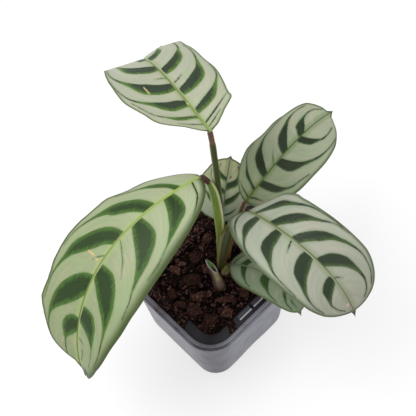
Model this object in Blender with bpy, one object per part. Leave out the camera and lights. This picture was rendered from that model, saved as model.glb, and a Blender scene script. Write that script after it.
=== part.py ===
"""Potted ctenanthe: a square grower's pot of bark and peat mix with six patterned leaves and a young shoot.

Metres, +Z up. The origin is the centre of the pot's underside, and the pot's sides lie along X and Y.
The leaf called front hangs over the -Y side, and the leaf called side over the +X side.
"""

from collections import namedtuple
from math import cos, pi, radians, sin

import bmesh
import bpy
import numpy as np
from mathutils import Matrix, Vector

GAP = 0.0004  # clearance between pieces that touch
EDGE = 0.0005  # small bevel on moulded edges

# Pot: a 9 cm square grower's pot.
RIM_SIDE = 0.090
BASE_SIDE = 0.081
POT_HEIGHT = 0.072
RIM_CORNER = 0.0235
BASE_CORNER = 0.016
WAIST_HEIGHT = 0.036
WALL = 0.0009
FLOOR = 0.0014
FOOT_BEVEL = 0.0015
CENTRE_HALF = 0.008  # innermost loop of the floor
FLANGE_INNER_HALF = 0.0403
LEDGE_DROP = 0.0035
LEDGE_INNER_HALF = 0.0315
LEDGE_FALL = 0.0009
GROOVE = (0.0012, 0.0024)  # groove round the flange, as distances in from the rim's edge
GROOVE_DEPTH = 0.0004
CORNER_STEPS = 8
LEAST_CORNER = 0.15  # corner radius of the inner loops, as a share of their half side

# Bars moulded on the ledge, and the foot notches under the two X sides.
BAR_HALF = (0.0330, 0.0368)
BAR_ENDS = (-0.0070, 0.0046, 0.0070, 0.0186)
BAR_HEIGHT = 0.0016
LEDGE_HOLE_RADIUS = 0.0011
RIDGE_HALF = (0.0341, 0.0353)
RIDGE_ENDS = (-0.0300, -0.0080)
NOTCH_HALF_WIDTH = 0.0125
NOTCH_HEIGHT = 0.004
NOTCH_DEPTH = 0.012
NOTCH_SIDES = 24
HOLE_SIDES = 16
DRAIN_RADIUS = 0.0035
DRAIN_PLACES = (((0.024, 0.024), (0, 1, 2, 3)), ((0.0, 0.026), (0, 2)))  # each with its quarter turns

# Potting mix.
SOIL_LEVEL = 0.0668
SOIL_LUMP = 0.0007
SOIL_HEAP = 0.0012
HEAP_CENTRE = (-0.004, 0.012)
HEAP_RADIUS = 0.018
SOIL_EDGE_DROP = 0.0012
SOIL_RINGS = 10
SOIL_SIDE_POINTS = 8

# Leaf blades.
BLADE_ROWS = 19
BLADE_COLUMNS = (0.0, 0.08, 0.25, 0.45, 0.65, 0.85, 1.0)
BLADE_THICKNESS = 0.0006
MIDRIB_DEPTH = 0.0015
TIP_START = 0.955  # share of the length where the rounded body ends and the thin tip begins
TIP_WIDTH = 0.075
LEAST_HALF_WIDTH = 0.0009

Half = namedtuple("Half", "width fold curl widest base_power tip_power")
Leaf = namedtuple("Leaf", "length base heading pitch roll left right root rise drop root_radius neck_radius")

# Angles are in degrees, each for the blade's base, middle and tip. Heading turns from +X to +Y. A half's fold
# is its slope beside the midrib, and its curl is how far it turns on from there to the margin. A stalk leaves
# its root along rise and reaches the blade's base from drop below it.
LEAVES = {
    "tall": Leaf(
        length=0.107,
        base=(-0.027, 0.038, 0.206),
        heading=(167, 170, 167),
        pitch=(-5, -13, -92),
        roll=(8, 4, -1),
        left=Half(0.035, (18, 10, 13), (13, -1, 6), 0.47, 0.52, 0.49),
        right=Half(0.0295, (15, 9, 17), (13, -31, -1), 0.43, 0.48, 0.48),
        root=(-0.0108, 0.0221),
        rise=(-0.0070, 0.0110, 0.0470),
        drop=(-0.0005, 0.0005, 0.0165),
        root_radius=0.0019,
        neck_radius=0.0018,
    ),
    "front": Leaf(
        length=0.174,
        base=(-0.027, 0.025, 0.163),
        heading=(-102, -82, -42),
        pitch=(4, -25, -75),
        roll=(22, 21, 39),
        left=Half(0.039, (3, 2, 23), (-25, -28, 21), 0.57, 0.44, 0.46),
        right=Half(0.039, (1, 7, 5), (-35, -14, -6), 0.60, 0.47, 0.39),
        root=(-0.0073, 0.0169),
        rise=(-0.0037, 0.0065, 0.0320),
        drop=(-0.0050, -0.0080, 0.0105),
        root_radius=0.0027,
        neck_radius=0.0019,
    ),
    "back": Leaf(
        length=0.050,
        base=(-0.022, 0.0355, 0.080),
        heading=(131, 124, 120),
        pitch=(46, 40, 28),
        roll=(-3, -1, -1),
        left=Half(0.019, (4, 6, 6), (-26, -18, -20), 0.47, 0.47, 0.56),
        right=Half(0.019, (5, 6, 5), (-21, -20, -21), 0.48, 0.47, 0.50),
        root=(-0.0145, 0.0245),
        rise=(0.0, 0.0, 0.0041),
        drop=(-0.0014, 0.0016, 0.0036),
        root_radius=0.0016,
        neck_radius=0.0013,
    ),
    "far": Leaf(
        length=0.097,
        base=(-0.010, 0.0475, 0.113),
        heading=(88, 93, 87),
        pitch=(39, 4, -23),
        roll=(-1, 0, 11),
        left=Half(0.0255, (6, 1, 11), (-19, -37, -5), 0.43, 0.53, 0.45),
        right=Half(0.026, (6, 9, 2), (-21, -11, -29), 0.50, 0.45, 0.54),
        root=(-0.0024, 0.0131),
        rise=(0.0037, -0.0031, 0.0240),
        drop=(0.0036, 0.0130, 0.0032),
        root_radius=0.0028,
        neck_radius=0.0018,
    ),
    "side": Leaf(
        length=0.123,
        base=(-0.001, 0.040, 0.1245),
        heading=(-12, 1, -10),
        pitch=(52, -1, -66),
        roll=(-5, 5, 6),
        left=Half(0.0285, (5, 18, 7), (-21, 18, -18), 0.67, 0.45, 0.52),
        right=Half(0.0295, (12, 10, 6), (-4, -9, -17), 0.52, 0.44, 0.48),
        root=(-0.0050, 0.0219),
        rise=(-0.0033, 0.0045, 0.0200),
        drop=(0.0047, -0.0015, 0.0108),
        root_radius=0.0021,
        neck_radius=0.0017,
    ),
    "low": Leaf(
        length=0.075,
        base=(0.0045, 0.0155, 0.080),
        heading=(22, 4, -19),
        pitch=(44, 16, -33),
        roll=(3, 0, -3),
        left=Half(0.0185, (5, 6, 6), (-23, -20, -20), 0.48, 0.47, 0.52),
        right=Half(0.016, (2, 7, 8), (-31, -17, -16), 0.44, 0.48, 0.51),
        root=(0.0029, 0.0107),
        rise=(0.0016, -0.0015, 0.0044),
        drop=(0.0013, 0.0013, 0.0030),
        root_radius=0.0023,
        neck_radius=0.0015,
    ),
}

# Stalks.
STALK_RINGS = 17
STALK_SIDES = 10
NARROWING = (0.35, 0.65)  # shares of the stalk's length between which the sheathed foot narrows to the neck
KNEE_PLACE = 0.94
KNEE_LENGTH = 0.07
KNEE_SWELL = 0.0003
TOP_RADIUS = 0.0009
TOP_CLEARANCE = 0.0006
LEAST_RISE = 0.0003  # from one ring to the next, so that a leaning stalk stays above the mix

# Rolled young shoot.
SHOOT_FOOT = (0.0087, 0.0009)
SHOOT_TOP = (-0.0027, 0.0044, 0.0840)
SHOOT_RADIUS = 0.0036
SHOOT_WALL = 0.0008
SHOOT_WELL = 0.010
SHOOT_SLANT = 0.0055
SHOOT_HIGH_SIDE = (-0.986, 0.164, 0.0)  # the side on which the slanted mouth stands highest
SHOOT_SIDES = 16

# Bark chips that lie on the mix: centre, length, width, thickness, then yaw and tilt in degrees.
Chip = namedtuple("Chip", "place size yaw tilt")
CHIPS = (
    Chip((-0.0100, -0.0090), (0.0150, 0.0100, 0.0026), 80, 14),
    Chip((-0.0240, -0.0120), (0.0080, 0.0065, 0.0028), 20, 10),
    Chip((-0.0080, 0.0040), (0.0080, 0.0070, 0.0045), 40, 20),
    Chip((0.0020, -0.0150), (0.0125, 0.0048, 0.0042), 72, 6),
    Chip((0.0180, -0.0030), (0.0140, 0.0048, 0.0044), 42, 5),
    Chip((0.0080, -0.0250), (0.0110, 0.0085, 0.0055), 10, 12),
    Chip((0.0205, -0.0215), (0.0120, 0.0090, 0.0060), 60, 8),
    Chip((0.0250, -0.0095), (0.0085, 0.0065, 0.0050), 100, 10),
    Chip((0.0235, 0.0100), (0.0100, 0.0080, 0.0055), 130, 10),
    Chip((-0.0130, -0.0270), (0.0085, 0.0060, 0.0045), 150, 15),
    Chip((-0.0025, -0.0280), (0.0085, 0.0060, 0.0045), 30, 15),
    Chip((-0.0200, 0.0050), (0.0110, 0.0080, 0.0045), 75, 12),
    Chip((0.0130, 0.0260), (0.0120, 0.0080, 0.0050), 15, 8),
    Chip((-0.0250, 0.0210), (0.0105, 0.0075, 0.0045), 110, 10),
    Chip((0.0260, 0.0240), (0.0090, 0.0070, 0.0050), 60, 12),
)
CHIP_POINTS = 14


def clear_scene():
    for obj in list(bpy.data.objects):
        bpy.data.objects.remove(obj)


def material(name, colour, roughness, metallic=0.0):
    made = bpy.data.materials.new(name)
    made.use_nodes = True
    shader = made.node_tree.nodes["Principled BSDF"]
    shader.inputs["Base Color"].default_value = (*colour, 1.0)
    shader.inputs["Roughness"].default_value = roughness
    shader.inputs["Metallic"].default_value = metallic
    return made


def mesh_object(name, vertices, faces, finish=None, smooth_angle=None):
    """A mesh object with its faces turned outwards."""
    mesh = bpy.data.meshes.new(name)
    mesh.from_pydata([tuple(v) for v in vertices], [], [tuple(f) for f in faces])
    shape = bmesh.new()
    shape.from_mesh(mesh)
    bmesh.ops.recalc_face_normals(shape, faces=shape.faces)
    shape.to_mesh(mesh)
    shape.free()
    if smooth_angle is not None:
        mesh.shade_smooth()
        mesh.set_sharp_from_angle(angle=radians(smooth_angle))
    if finish:
        mesh.materials.append(finish)
    obj = bpy.data.objects.new(name, mesh)
    bpy.context.scene.collection.objects.link(obj)
    return obj


def hide_cutter(obj):
    obj.hide_render = True
    obj.display_type = "WIRE"
    return obj


def boolean(obj, operation, other):
    step = obj.modifiers.new(other.name, "BOOLEAN")
    step.operation = operation
    step.solver = "EXACT"
    step.object = other


def box(name, low, high):
    corners = [(x, y, z) for x in (low[0], high[0]) for y in (low[1], high[1]) for z in (low[2], high[2])]
    faces = ((0, 1, 3, 2), (4, 5, 7, 6), (0, 1, 5, 4), (2, 3, 7, 6), (0, 2, 6, 4), (1, 3, 7, 5))
    return mesh_object(name, corners, faces)


def tube_of_rings(rings):
    """Vertices and faces of a closed skin over rings that all have the same number of points."""
    count = len(rings[0])
    vertices = [point for ring in rings for point in ring]
    faces = []
    for k in range(len(rings) - 1):
        for i in range(count):
            j = (i + 1) % count
            faces.append((k * count + i, k * count + j, (k + 1) * count + j, (k + 1) * count + i))
    faces.append(tuple(range(count)))
    faces.append(tuple((len(rings) - 1) * count + i for i in range(count)))
    return vertices, faces


# Pot and potting mix


def outer_half(z):
    return (BASE_SIDE + (RIM_SIDE - BASE_SIDE) * z / POT_HEIGHT) / 2


def corner_radius(half, z):
    """The corner's radius on the loop with this half side: it shrinks as the loop moves inwards from the wall."""
    at_wall = BASE_CORNER + (RIM_CORNER - BASE_CORNER) * z / POT_HEIGHT
    return max(at_wall - (outer_half(z) - half), half * LEAST_CORNER)


def square_loop(half, z, side_points=0):
    """A square with round corners, as four quarter turns of one corner and the straight side after it."""
    radius = corner_radius(half, z)
    straight = half - radius
    quarter = []
    for step in range(CORNER_STEPS + 1):
        angle = step * pi / 2 / CORNER_STEPS
        quarter.append((straight + radius * cos(angle), straight + radius * sin(angle)))
    for k in range(1, side_points + 1):
        quarter.append((straight * (1 - 2 * k / (side_points + 1)), half))
    turns = ((1, 0), (0, 1), (-1, 0), (0, -1))
    return [(x * c - y * s, x * s + y * c, z) for c, s in turns for x, y in quarter]


def pot_profile():
    """Half side and height, from the underside out, up, over the flange and ledge, and down inside."""
    ledge = POT_HEIGHT - LEDGE_DROP
    ledge_low = ledge - LEDGE_FALL
    rim_half = RIM_SIDE / 2
    return (
        (CENTRE_HALF, 0.0),
        (BASE_SIDE / 2 - FOOT_BEVEL, 0.0),
        (outer_half(FOOT_BEVEL), FOOT_BEVEL),
        (outer_half(WAIST_HEIGHT), WAIST_HEIGHT),
        (outer_half(POT_HEIGHT - EDGE), POT_HEIGHT - EDGE),
        (rim_half - EDGE, POT_HEIGHT),
        (rim_half - GROOVE[0], POT_HEIGHT),
        (rim_half - GROOVE[0] - GROOVE_DEPTH, POT_HEIGHT - GROOVE_DEPTH),
        (rim_half - GROOVE[1] + GROOVE_DEPTH, POT_HEIGHT - GROOVE_DEPTH),
        (rim_half - GROOVE[1], POT_HEIGHT),
        (FLANGE_INNER_HALF + EDGE, POT_HEIGHT),
        (FLANGE_INNER_HALF, POT_HEIGHT - EDGE),
        (FLANGE_INNER_HALF, ledge),
        (LEDGE_INNER_HALF + EDGE, ledge_low),
        (LEDGE_INNER_HALF, ledge_low - EDGE),
        (LEDGE_INNER_HALF, ledge_low - WALL),
        (FLANGE_INNER_HALF + WALL, ledge - WALL),
        (FLANGE_INNER_HALF + WALL, POT_HEIGHT - 2 * WALL),
        (rim_half - 2 * WALL, POT_HEIGHT - 2 * WALL),
        (outer_half(WAIST_HEIGHT) - WALL, WAIST_HEIGHT),
        (outer_half(FLOOR) - WALL - EDGE, FLOOR),
        (CENTRE_HALF, FLOOR),
    )


def ellipse(wide, high, sides):
    return [(wide * cos(2 * pi * k / sides), high * sin(2 * pi * k / sides)) for k in range(sides)]


def foot_notch(name, swell):
    """A flattened round bar along X, swell larger all round than the notch in the foot of an X side."""
    start = BASE_SIDE / 2 - NOTCH_DEPTH - swell
    outline = ellipse(NOTCH_HALF_WIDTH + swell, NOTCH_HEIGHT + swell, NOTCH_SIDES)
    rings = [[(x, y, z) for y, z in outline] for x in (start, start + 2 * NOTCH_DEPTH)]
    return hide_cutter(mesh_object(name, *tube_of_rings(rings)))


def upright_cylinder(name, centre, radius, low, high):
    outline = ellipse(radius, radius, HOLE_SIDES)
    rings = [[(centre[0] + x, centre[1] + y, z) for x, y in outline] for z in (low, high)]
    return hide_cutter(mesh_object(name, *tube_of_rings(rings)))


def turned(obj, quarters):
    obj.rotation_euler = (0, 0, quarters * pi / 2)
    return obj


def notch_roof(quarters):
    """The floor lifted over a foot notch, kept inside the wall."""
    roof = foot_notch(f"notch_roof_{quarters}", FLOOR)
    reach = 2 * NOTCH_HALF_WIDTH
    wall_middle = outer_half(NOTCH_HEIGHT) - WALL / 2
    inside = box(f"notch_inside_{quarters}", (BASE_SIDE / 4, -reach, FLOOR / 2), (wall_middle, reach, reach))
    boolean(roof, "INTERSECT", hide_cutter(inside))
    turned(inside, quarters)
    return turned(roof, quarters)


def ledge_bar(name, across, ends, quarters):
    """A straight bar standing on the ledge along one side of the pot."""
    root = POT_HEIGHT - LEDGE_DROP - LEDGE_FALL - WALL / 2
    bar = box(name, (across[0], ends[0], root), (across[1], ends[1], root + WALL / 2 + BAR_HEIGHT))
    return turned(hide_cutter(bar), quarters)


def make_pot():
    plastic = material("pot polypropylene", (0.060, 0.060, 0.068), 0.34)
    rings = [square_loop(half, z) for half, z in pot_profile()]
    pot = mesh_object("pot", *tube_of_rings(rings), plastic, smooth_angle=35)
    for quarters in (0, 2):
        boolean(pot, "UNION", notch_roof(quarters))
        boolean(pot, "DIFFERENCE", turned(foot_notch(f"notch_{quarters}", 0), quarters))
        boolean(pot, "UNION", ledge_bar(f"bar_a_{quarters}", BAR_HALF, BAR_ENDS[:2], quarters))
        boolean(pot, "UNION", ledge_bar(f"bar_b_{quarters}", BAR_HALF, BAR_ENDS[2:], quarters))
        boolean(pot, "UNION", ledge_bar(f"ridge_{quarters}", RIDGE_HALF, RIDGE_ENDS, quarters - 1))
        between_bars = (sum(BAR_HALF) / 2, (BAR_ENDS[1] + BAR_ENDS[2]) / 2)
        hole = upright_cylinder(
            f"ledge_hole_{quarters}", between_bars, LEDGE_HOLE_RADIUS, POT_HEIGHT - 3 * LEDGE_DROP, POT_HEIGHT
        )
        boolean(pot, "DIFFERENCE", turned(hole, quarters))
    for k, (place, turns) in enumerate(DRAIN_PLACES):
        for quarters in turns:
            hole = upright_cylinder(f"drain_{k}_{quarters}", place, DRAIN_RADIUS, -FLOOR, NOTCH_DEPTH)
            boolean(pot, "DIFFERENCE", turned(hole, quarters))


def soil_height(x, y):
    """The mix heaped a little round the stalks, with low lumps."""
    away = np.hypot(x - HEAP_CENTRE[0], y - HEAP_CENTRE[1])
    heap = SOIL_HEAP * np.exp(-((away / HEAP_RADIUS) ** 2))
    lumps = np.sin(x * 420 + 1.3) * np.cos(y * 380) + 0.6 * np.sin(x * 150 + y * 210)
    return SOIL_LEVEL + heap + SOIL_LUMP * lumps


def make_soil():
    """The mix fills the pot from its floor to just under the ledge's level."""
    mix = material("bark and peat mix", (0.022, 0.012, 0.009), 0.9)
    under_ledge = POT_HEIGHT - LEDGE_DROP - LEDGE_FALL - WALL - GAP
    neck = LEDGE_INNER_HALF - GAP
    clearance = WALL + 2 * GAP
    profile = [
        (CENTRE_HALF, FLOOR + GAP),
        (outer_half(FLOOR + GAP) - clearance, FLOOR + GAP),
        (outer_half(under_ledge) - clearance, under_ledge),
        (neck, under_ledge),
        (neck, SOIL_LEVEL - SOIL_EDGE_DROP),
    ]
    rings = [square_loop(half, z, SOIL_SIDE_POINTS) for half, z in profile]
    for k in range(SOIL_RINGS):
        half = (neck - GAP) * (1 - k / SOIL_RINGS)
        loop = np.array(square_loop(half, SOIL_LEVEL, SOIL_SIDE_POINTS))
        loop[:, 2] = soil_height(loop[:, 0], loop[:, 1])
        rings.append([tuple(point) for point in loop])
    soil = mesh_object("soil", *tube_of_rings(rings), mix, smooth_angle=40)
    for quarters in (0, 2):
        clear = foot_notch(f"notch_clearance_{quarters}", FLOOR + GAP)
        boolean(soil, "DIFFERENCE", turned(clear, quarters))


# Leaves


def between(three, s):
    """The smooth value at s that passes through the base, middle and tip values."""
    base, middle, tip = three
    return base * (1 - s) * (1 - 2 * s) + middle * 4 * s * (1 - s) + tip * s * (2 * s - 1)


def half_width(half, s):
    """Half the blade's width along it: rounded at the base, oblong, and abruptly drawn out into a thin tip."""
    u = np.clip(s / TIP_START, 0, 1)
    towards_base = np.clip(1 - ((half.widest - u) / half.widest) ** 2, 0, 1) ** half.base_power
    towards_tip = np.clip(1 - ((u - half.widest) / (1 - half.widest)) ** 2, 0, 1) ** half.tip_power
    body = np.where(u < half.widest, towards_base, towards_tip)
    thin_tip = np.where(s > 0.88, TIP_WIDTH * np.clip((1 - s) / 0.09, 0, 1) ** 1.6, 0)
    return np.maximum(half.width * np.maximum(body, thin_tip), LEAST_HALF_WIDTH * (1.2 - s))


def midrib_frame(leaf, s):
    """Points on the midrib, with the directions along it, to its left and up from it."""
    heading = np.radians(between(leaf.heading, s))
    pitch = np.radians(between(leaf.pitch, s))
    roll = np.radians(between(leaf.roll, s))[:, None]
    along = np.stack([np.cos(pitch) * np.cos(heading), np.cos(pitch) * np.sin(heading), np.sin(pitch)], -1)
    level = np.stack([-np.sin(heading), np.cos(heading), 0 * heading], -1)
    upright = np.cross(along, level)
    left = level * np.cos(roll) + upright * np.sin(roll)
    up = upright * np.cos(roll) - level * np.sin(roll)
    steps = (along[1:] + along[:-1]) / 2 * np.diff(s)[:, None] * leaf.length
    points = np.vstack([np.zeros(3), np.cumsum(steps, 0)]) + np.array(leaf.base)
    return points, along, left, up


def blade_surface(leaf, s, columns):
    """The blade's upper face as rows of points from its right margin over the midrib to its left margin."""
    points, _, left, up = midrib_frame(leaf, s)
    share = np.array(columns)
    sides = []
    for half, sign in ((leaf.right, -1), (leaf.left, 1)):
        fold = np.radians(between(half.fold, s))[:, None]
        curl = np.radians(between(half.curl, s))[:, None]
        curl = np.where(np.abs(curl) < 0.001, 0.001, curl)
        across = (np.sin(fold + curl * share) - np.sin(fold)) / curl
        rise = (np.cos(fold) - np.cos(fold + curl * share)) / curl
        width = half_width(half, s)[:, None]
        outwards = (width * across)[..., None] * sign * left[:, None]
        sides.append(points[:, None] + outwards + (width * rise)[..., None] * up[:, None])
    return np.concatenate([sides[0][:, :0:-1], sides[1]], 1)


def surface_normals(grid):
    along = np.gradient(grid, axis=0)
    across = np.gradient(grid, axis=1)
    normals = np.cross(along, across)
    return normals / np.linalg.norm(normals, axis=2, keepdims=True)


def make_blade(name, leaf):
    lamina = material(f"leaf {name}", (0.36, 0.50, 0.30), 0.42)
    s = (1 - np.cos(np.linspace(0, pi, BLADE_ROWS))) / 2
    upper = blade_surface(leaf, s, BLADE_COLUMNS)
    rows, count = upper.shape[:2]
    depth = np.full((rows, count), BLADE_THICKNESS)
    depth[:, count // 2] += MIDRIB_DEPTH * (1 - 0.85 * s)
    lower = upper - surface_normals(upper) * depth[..., None]
    vertices = np.vstack([upper.reshape(-1, 3), lower.reshape(-1, 3)])
    under = rows * count
    faces = []
    for r in range(rows - 1):
        for c in range(count - 1):
            a, b = r * count + c, r * count + c + 1
            faces.append((a, b, b + count, a + count))
            faces.append((under + a, under + a + count, under + b + count, under + b))
        for c in (0, count - 1):
            a = r * count + c
            faces.append((a, a + count, under + a + count, under + a))
    for r in (0, rows - 1):
        for c in range(count - 1):
            a = r * count + c
            faces.append((a, a + 1, under + a + 1, under + a))
    mesh_object(f"blade_{name}", vertices, faces, lamina, smooth_angle=60)


def bezier(points, t):
    a, b, c, d = (np.array(p, float) for p in points)
    t = t[:, None]
    return a * (1 - t) ** 3 + 3 * b * t * (1 - t) ** 2 + 3 * c * t**2 * (1 - t) + d * t**3


def round_rings(path, radii, sides):
    """Rings of a round bar along a path, turned from one to the next without twist."""
    tangents = np.gradient(path, axis=0)
    tangents /= np.linalg.norm(tangents, axis=1, keepdims=True)
    side = Vector((1, 0, 0))
    rings = []
    for point, tangent, radius in zip(path, tangents, radii):
        along = Vector(tangent)
        side = (side - along * side.dot(along)).normalized()
        other = along.cross(side)
        ring = []
        for k in range(sides):
            angle = 2 * pi * k / sides
            ring.append(tuple(Vector(point) + (side * cos(angle) + other * sin(angle)) * radius))
        rings.append(ring)
    return rings


def stalk_foot(leaf):
    return np.array([*leaf.root, soil_height(*leaf.root) + 2 * GAP])


def stalk_path(leaf, t):
    """From the mix up to the blade's base, clear of the midrib's underside."""
    _, _, _, up = midrib_frame(leaf, np.array([0.0, 1.0]))
    foot = stalk_foot(leaf)
    drop = np.array(leaf.drop)
    arrival = drop / np.linalg.norm(drop)
    clearance = TOP_CLEARANCE + (BLADE_THICKNESS + MIDRIB_DEPTH) * abs(arrival @ up[0])
    top = np.array(leaf.base) - arrival * clearance
    return bezier((foot, foot + np.array(leaf.rise), top - drop, top), t)


def make_stalk(name, leaf):
    """A round stalk with a level foot, a thicker lower part, and a swollen knee under the blade."""
    green = material(f"stalk {name}", (0.19, 0.25, 0.06), 0.4)
    t = np.linspace(0, 1, STALK_RINGS)
    narrowed = np.clip((t - NARROWING[0]) / (NARROWING[1] - NARROWING[0]), 0, 1)
    radii = leaf.root_radius + (leaf.neck_radius - leaf.root_radius) * narrowed
    radii = radii + KNEE_SWELL * np.exp(-(((t - KNEE_PLACE) / KNEE_LENGTH) ** 2))
    radii[-1] = TOP_RADIUS
    rings = round_rings(stalk_path(leaf, t), radii, STALK_SIDES)
    foot_level = stalk_foot(leaf)[2]
    rings[0] = [(x, y, foot_level) for x, y, _ in rings[0]]
    for k in range(1, STALK_RINGS):
        least = foot_level + k * LEAST_RISE
        rings[k] = [(x, y, max(z, least)) for x, y, z in rings[k]]
    mesh_object(f"stalk_{name}", *tube_of_rings(rings), green, smooth_angle=50)


def make_shoot():
    """A short rolled sheath, open at its slanted mouth."""
    skin = material("young sheath", (0.16, 0.10, 0.06), 0.45)
    foot = Vector((*SHOOT_FOOT, float(soil_height(*SHOOT_FOOT)) + 3 * GAP))
    top = Vector(SHOOT_TOP)
    axis = (top - foot).normalized()
    level = Vector((0, 0, 1)).cross(axis).normalized()
    uphill = axis.cross(level)
    high = Vector(SHOOT_HIGH_SIDE)

    def ring(distance, radius, slant):
        points = []
        for k in range(SHOOT_SIDES):
            angle = 2 * pi * k / SHOOT_SIDES
            out = level * cos(angle) + uphill * sin(angle)
            lift = slant * out.dot(high)
            point = foot + axis * (distance + lift) + out * radius
            point.z = max(point.z, foot.z + distance * 0.3)  # the foot stays above the mix
            points.append(tuple(point))
        return points

    length = (top - foot).length
    stations = (
        (0.0, SHOOT_RADIUS * 0.90, 0.0),
        (length * 0.10, SHOOT_RADIUS * 1.06, 0.0),
        (length * 0.30, SHOOT_RADIUS * 1.10, 0.10),
        (length * 0.55, SHOOT_RADIUS, 0.45),
        (length * 0.80, SHOOT_RADIUS * 0.93, 0.80),
        (length, SHOOT_RADIUS * 0.86, 1.0),
        (length, SHOOT_RADIUS * 0.86 - SHOOT_WALL, 1.0),
        (length * 0.80, SHOOT_RADIUS * 0.93 - SHOOT_WALL, 0.80),
        (length - SHOOT_WELL, SHOOT_RADIUS - SHOOT_WALL, 0.45),
    )
    rings = [ring(distance, radius, SHOOT_SLANT * share) for distance, radius, share in stations]
    mesh_object("young_shoot", *tube_of_rings(rings), skin, smooth_angle=50)


def make_chip(number, chip):
    """A broken piece of bark: the hull of scattered points in a box, laid on the mix."""
    bark = material(f"bark {number}", (0.045, 0.022, 0.015), 0.85)
    scatter = np.random.default_rng(number)
    directions = scatter.normal(size=(CHIP_POINTS, 3))
    directions /= np.abs(directions).max(axis=1, keepdims=True)
    points = directions * np.array(chip.size) / 2 * scatter.uniform(0.82, 1.0, (CHIP_POINTS, 1))
    place = Matrix.Rotation(radians(chip.yaw), 3, "Z") @ Matrix.Rotation(radians(chip.tilt), 3, "Y")
    points = points @ np.array(place).T + np.array([*chip.place, 0.0])
    rise = np.max(soil_height(points[:, 0], points[:, 1]) - points[:, 2])
    points[:, 2] += rise + GAP + SOIL_LUMP
    shape = bmesh.new()
    for point in points:
        shape.verts.new(point)
    hull = bmesh.ops.convex_hull(shape, input=shape.verts)
    loose = [item for item in hull["geom_interior"] if isinstance(item, bmesh.types.BMVert)]
    bmesh.ops.delete(shape, geom=loose, context="VERTS")
    shape.verts.index_update()
    vertices = [vertex.co.copy() for vertex in shape.verts]
    faces = [[vertex.index for vertex in face.verts] for face in shape.faces]
    shape.free()
    mesh_object(f"bark_{number:02d}", vertices, faces, bark)


clear_scene()
make_pot()
make_soil()
for leaf_name, leaf_values in LEAVES.items():
    make_blade(leaf_name, leaf_values)
    make_stalk(leaf_name, leaf_values)
make_shoot()
for chip_number, chip_values in enumerate(CHIPS, 1):
    make_chip(chip_number, chip_values)
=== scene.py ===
"""Potted ctenanthe, dressed: six patterned leaves on sheathed stalks, in bark mix, in a square grower's pot.

Metres, +Z up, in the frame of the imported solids. Leaf markings are laid out in millimetres: the first number
runs along the midrib from the blade's base, and the second out from it across one half of the blade.
"""

from collections import namedtuple
from math import cos, pi, radians, sin

import bmesh
import bpy
import numpy as np
from mathutils import Matrix, Vector, noise


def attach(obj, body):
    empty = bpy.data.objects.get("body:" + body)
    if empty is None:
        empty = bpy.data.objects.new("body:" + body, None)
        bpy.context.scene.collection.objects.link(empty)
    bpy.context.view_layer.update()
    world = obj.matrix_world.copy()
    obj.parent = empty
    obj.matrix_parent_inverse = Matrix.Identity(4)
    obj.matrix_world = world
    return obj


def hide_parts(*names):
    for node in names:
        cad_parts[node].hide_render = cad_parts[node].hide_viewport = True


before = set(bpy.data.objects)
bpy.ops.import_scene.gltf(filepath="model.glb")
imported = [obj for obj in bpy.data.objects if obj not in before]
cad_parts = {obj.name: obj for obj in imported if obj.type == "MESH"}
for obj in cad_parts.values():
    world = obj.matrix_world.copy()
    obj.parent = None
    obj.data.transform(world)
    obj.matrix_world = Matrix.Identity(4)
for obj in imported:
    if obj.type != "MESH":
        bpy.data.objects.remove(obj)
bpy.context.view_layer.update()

MM = 0.001
SMOOTH = {"interpolation_type": "SMOOTHSTEP"}
COLOURS = {"data_type": "RGBA"}


# Helpers


def linear(code):
    """An sRGB hex colour as linear red, green, blue and alpha."""
    channels = [int(code[k : k + 2], 16) / 255 for k in (1, 3, 5)]
    return (*(c / 12.92 if c <= 0.04045 else ((c + 0.055) / 1.055) ** 2.4 for c in channels), 1.0)


def feed(tree, node, inputs):
    """Give a node's sockets, in order or by name, values, hex colours, or what other nodes put out."""
    named = isinstance(inputs, dict)
    sockets = [node.inputs[name] for name in inputs] if named else [s for s in node.inputs if s.enabled]
    for socket, value in zip(sockets, inputs.values() if named else inputs):
        if isinstance(value, bpy.types.Node):
            value = next(output for output in value.outputs if output.enabled)
        if isinstance(value, bpy.types.NodeSocket):
            tree.links.new(value, socket)
        else:
            socket.default_value = linear(value) if isinstance(value, str) else value


def add(tree, kind, inputs=(), stops=(), **settings):
    """A shader node with its settings, its colour ramp's stops, and what goes into its sockets."""
    node = tree.nodes.new("ShaderNode" + kind)
    for name, value in settings.items():
        setattr(node, name, value)
    if stops:
        while len(node.color_ramp.elements) < len(stops):
            node.color_ramp.elements.new(1.0)
        for element, (place, code) in zip(node.color_ramp.elements, stops):
            element.position = place
            element.color = linear(code)
    feed(tree, node, inputs)
    return node


def new_material(name, roughness, specular):
    """A material with its node tree and its Principled shader."""
    made = bpy.data.materials.new(name)
    made.use_nodes = True
    shader = made.node_tree.nodes["Principled BSDF"]
    shader.inputs["Roughness"].default_value = roughness
    shader.inputs["Specular IOR Level"].default_value = specular
    return made, made.node_tree, shader


def mesh_piece(name, vertices, faces, finish, replaced, attributes, sharp, outwards=False):
    """A mesh that rides on the root body; each attribute has a number or a vector for every vertex."""
    mesh = bpy.data.meshes.new(name)
    mesh.from_pydata(np.asarray(vertices, float).tolist(), [], faces)
    if outwards:
        shape = bmesh.new()
        shape.from_mesh(mesh)
        bmesh.ops.recalc_face_normals(shape, faces=shape.faces)
        shape.to_mesh(mesh)
        shape.free()
    for label, values in attributes.items():
        values = np.asarray(values, np.float32)
        kind, field = ("FLOAT", "value") if values.ndim == 1 else ("FLOAT_VECTOR", "vector")
        mesh.attributes.new(label, kind, "POINT").data.foreach_set(field, values.ravel())
    mesh.shade_smooth()
    mesh.set_sharp_from_angle(angle=radians(sharp))
    mesh.materials.append(finish)
    piece = bpy.data.objects.new(name, mesh)
    bpy.context.scene.collection.objects.link(piece)
    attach(piece, "root")
    if replaced:
        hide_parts(*replaced)


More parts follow.
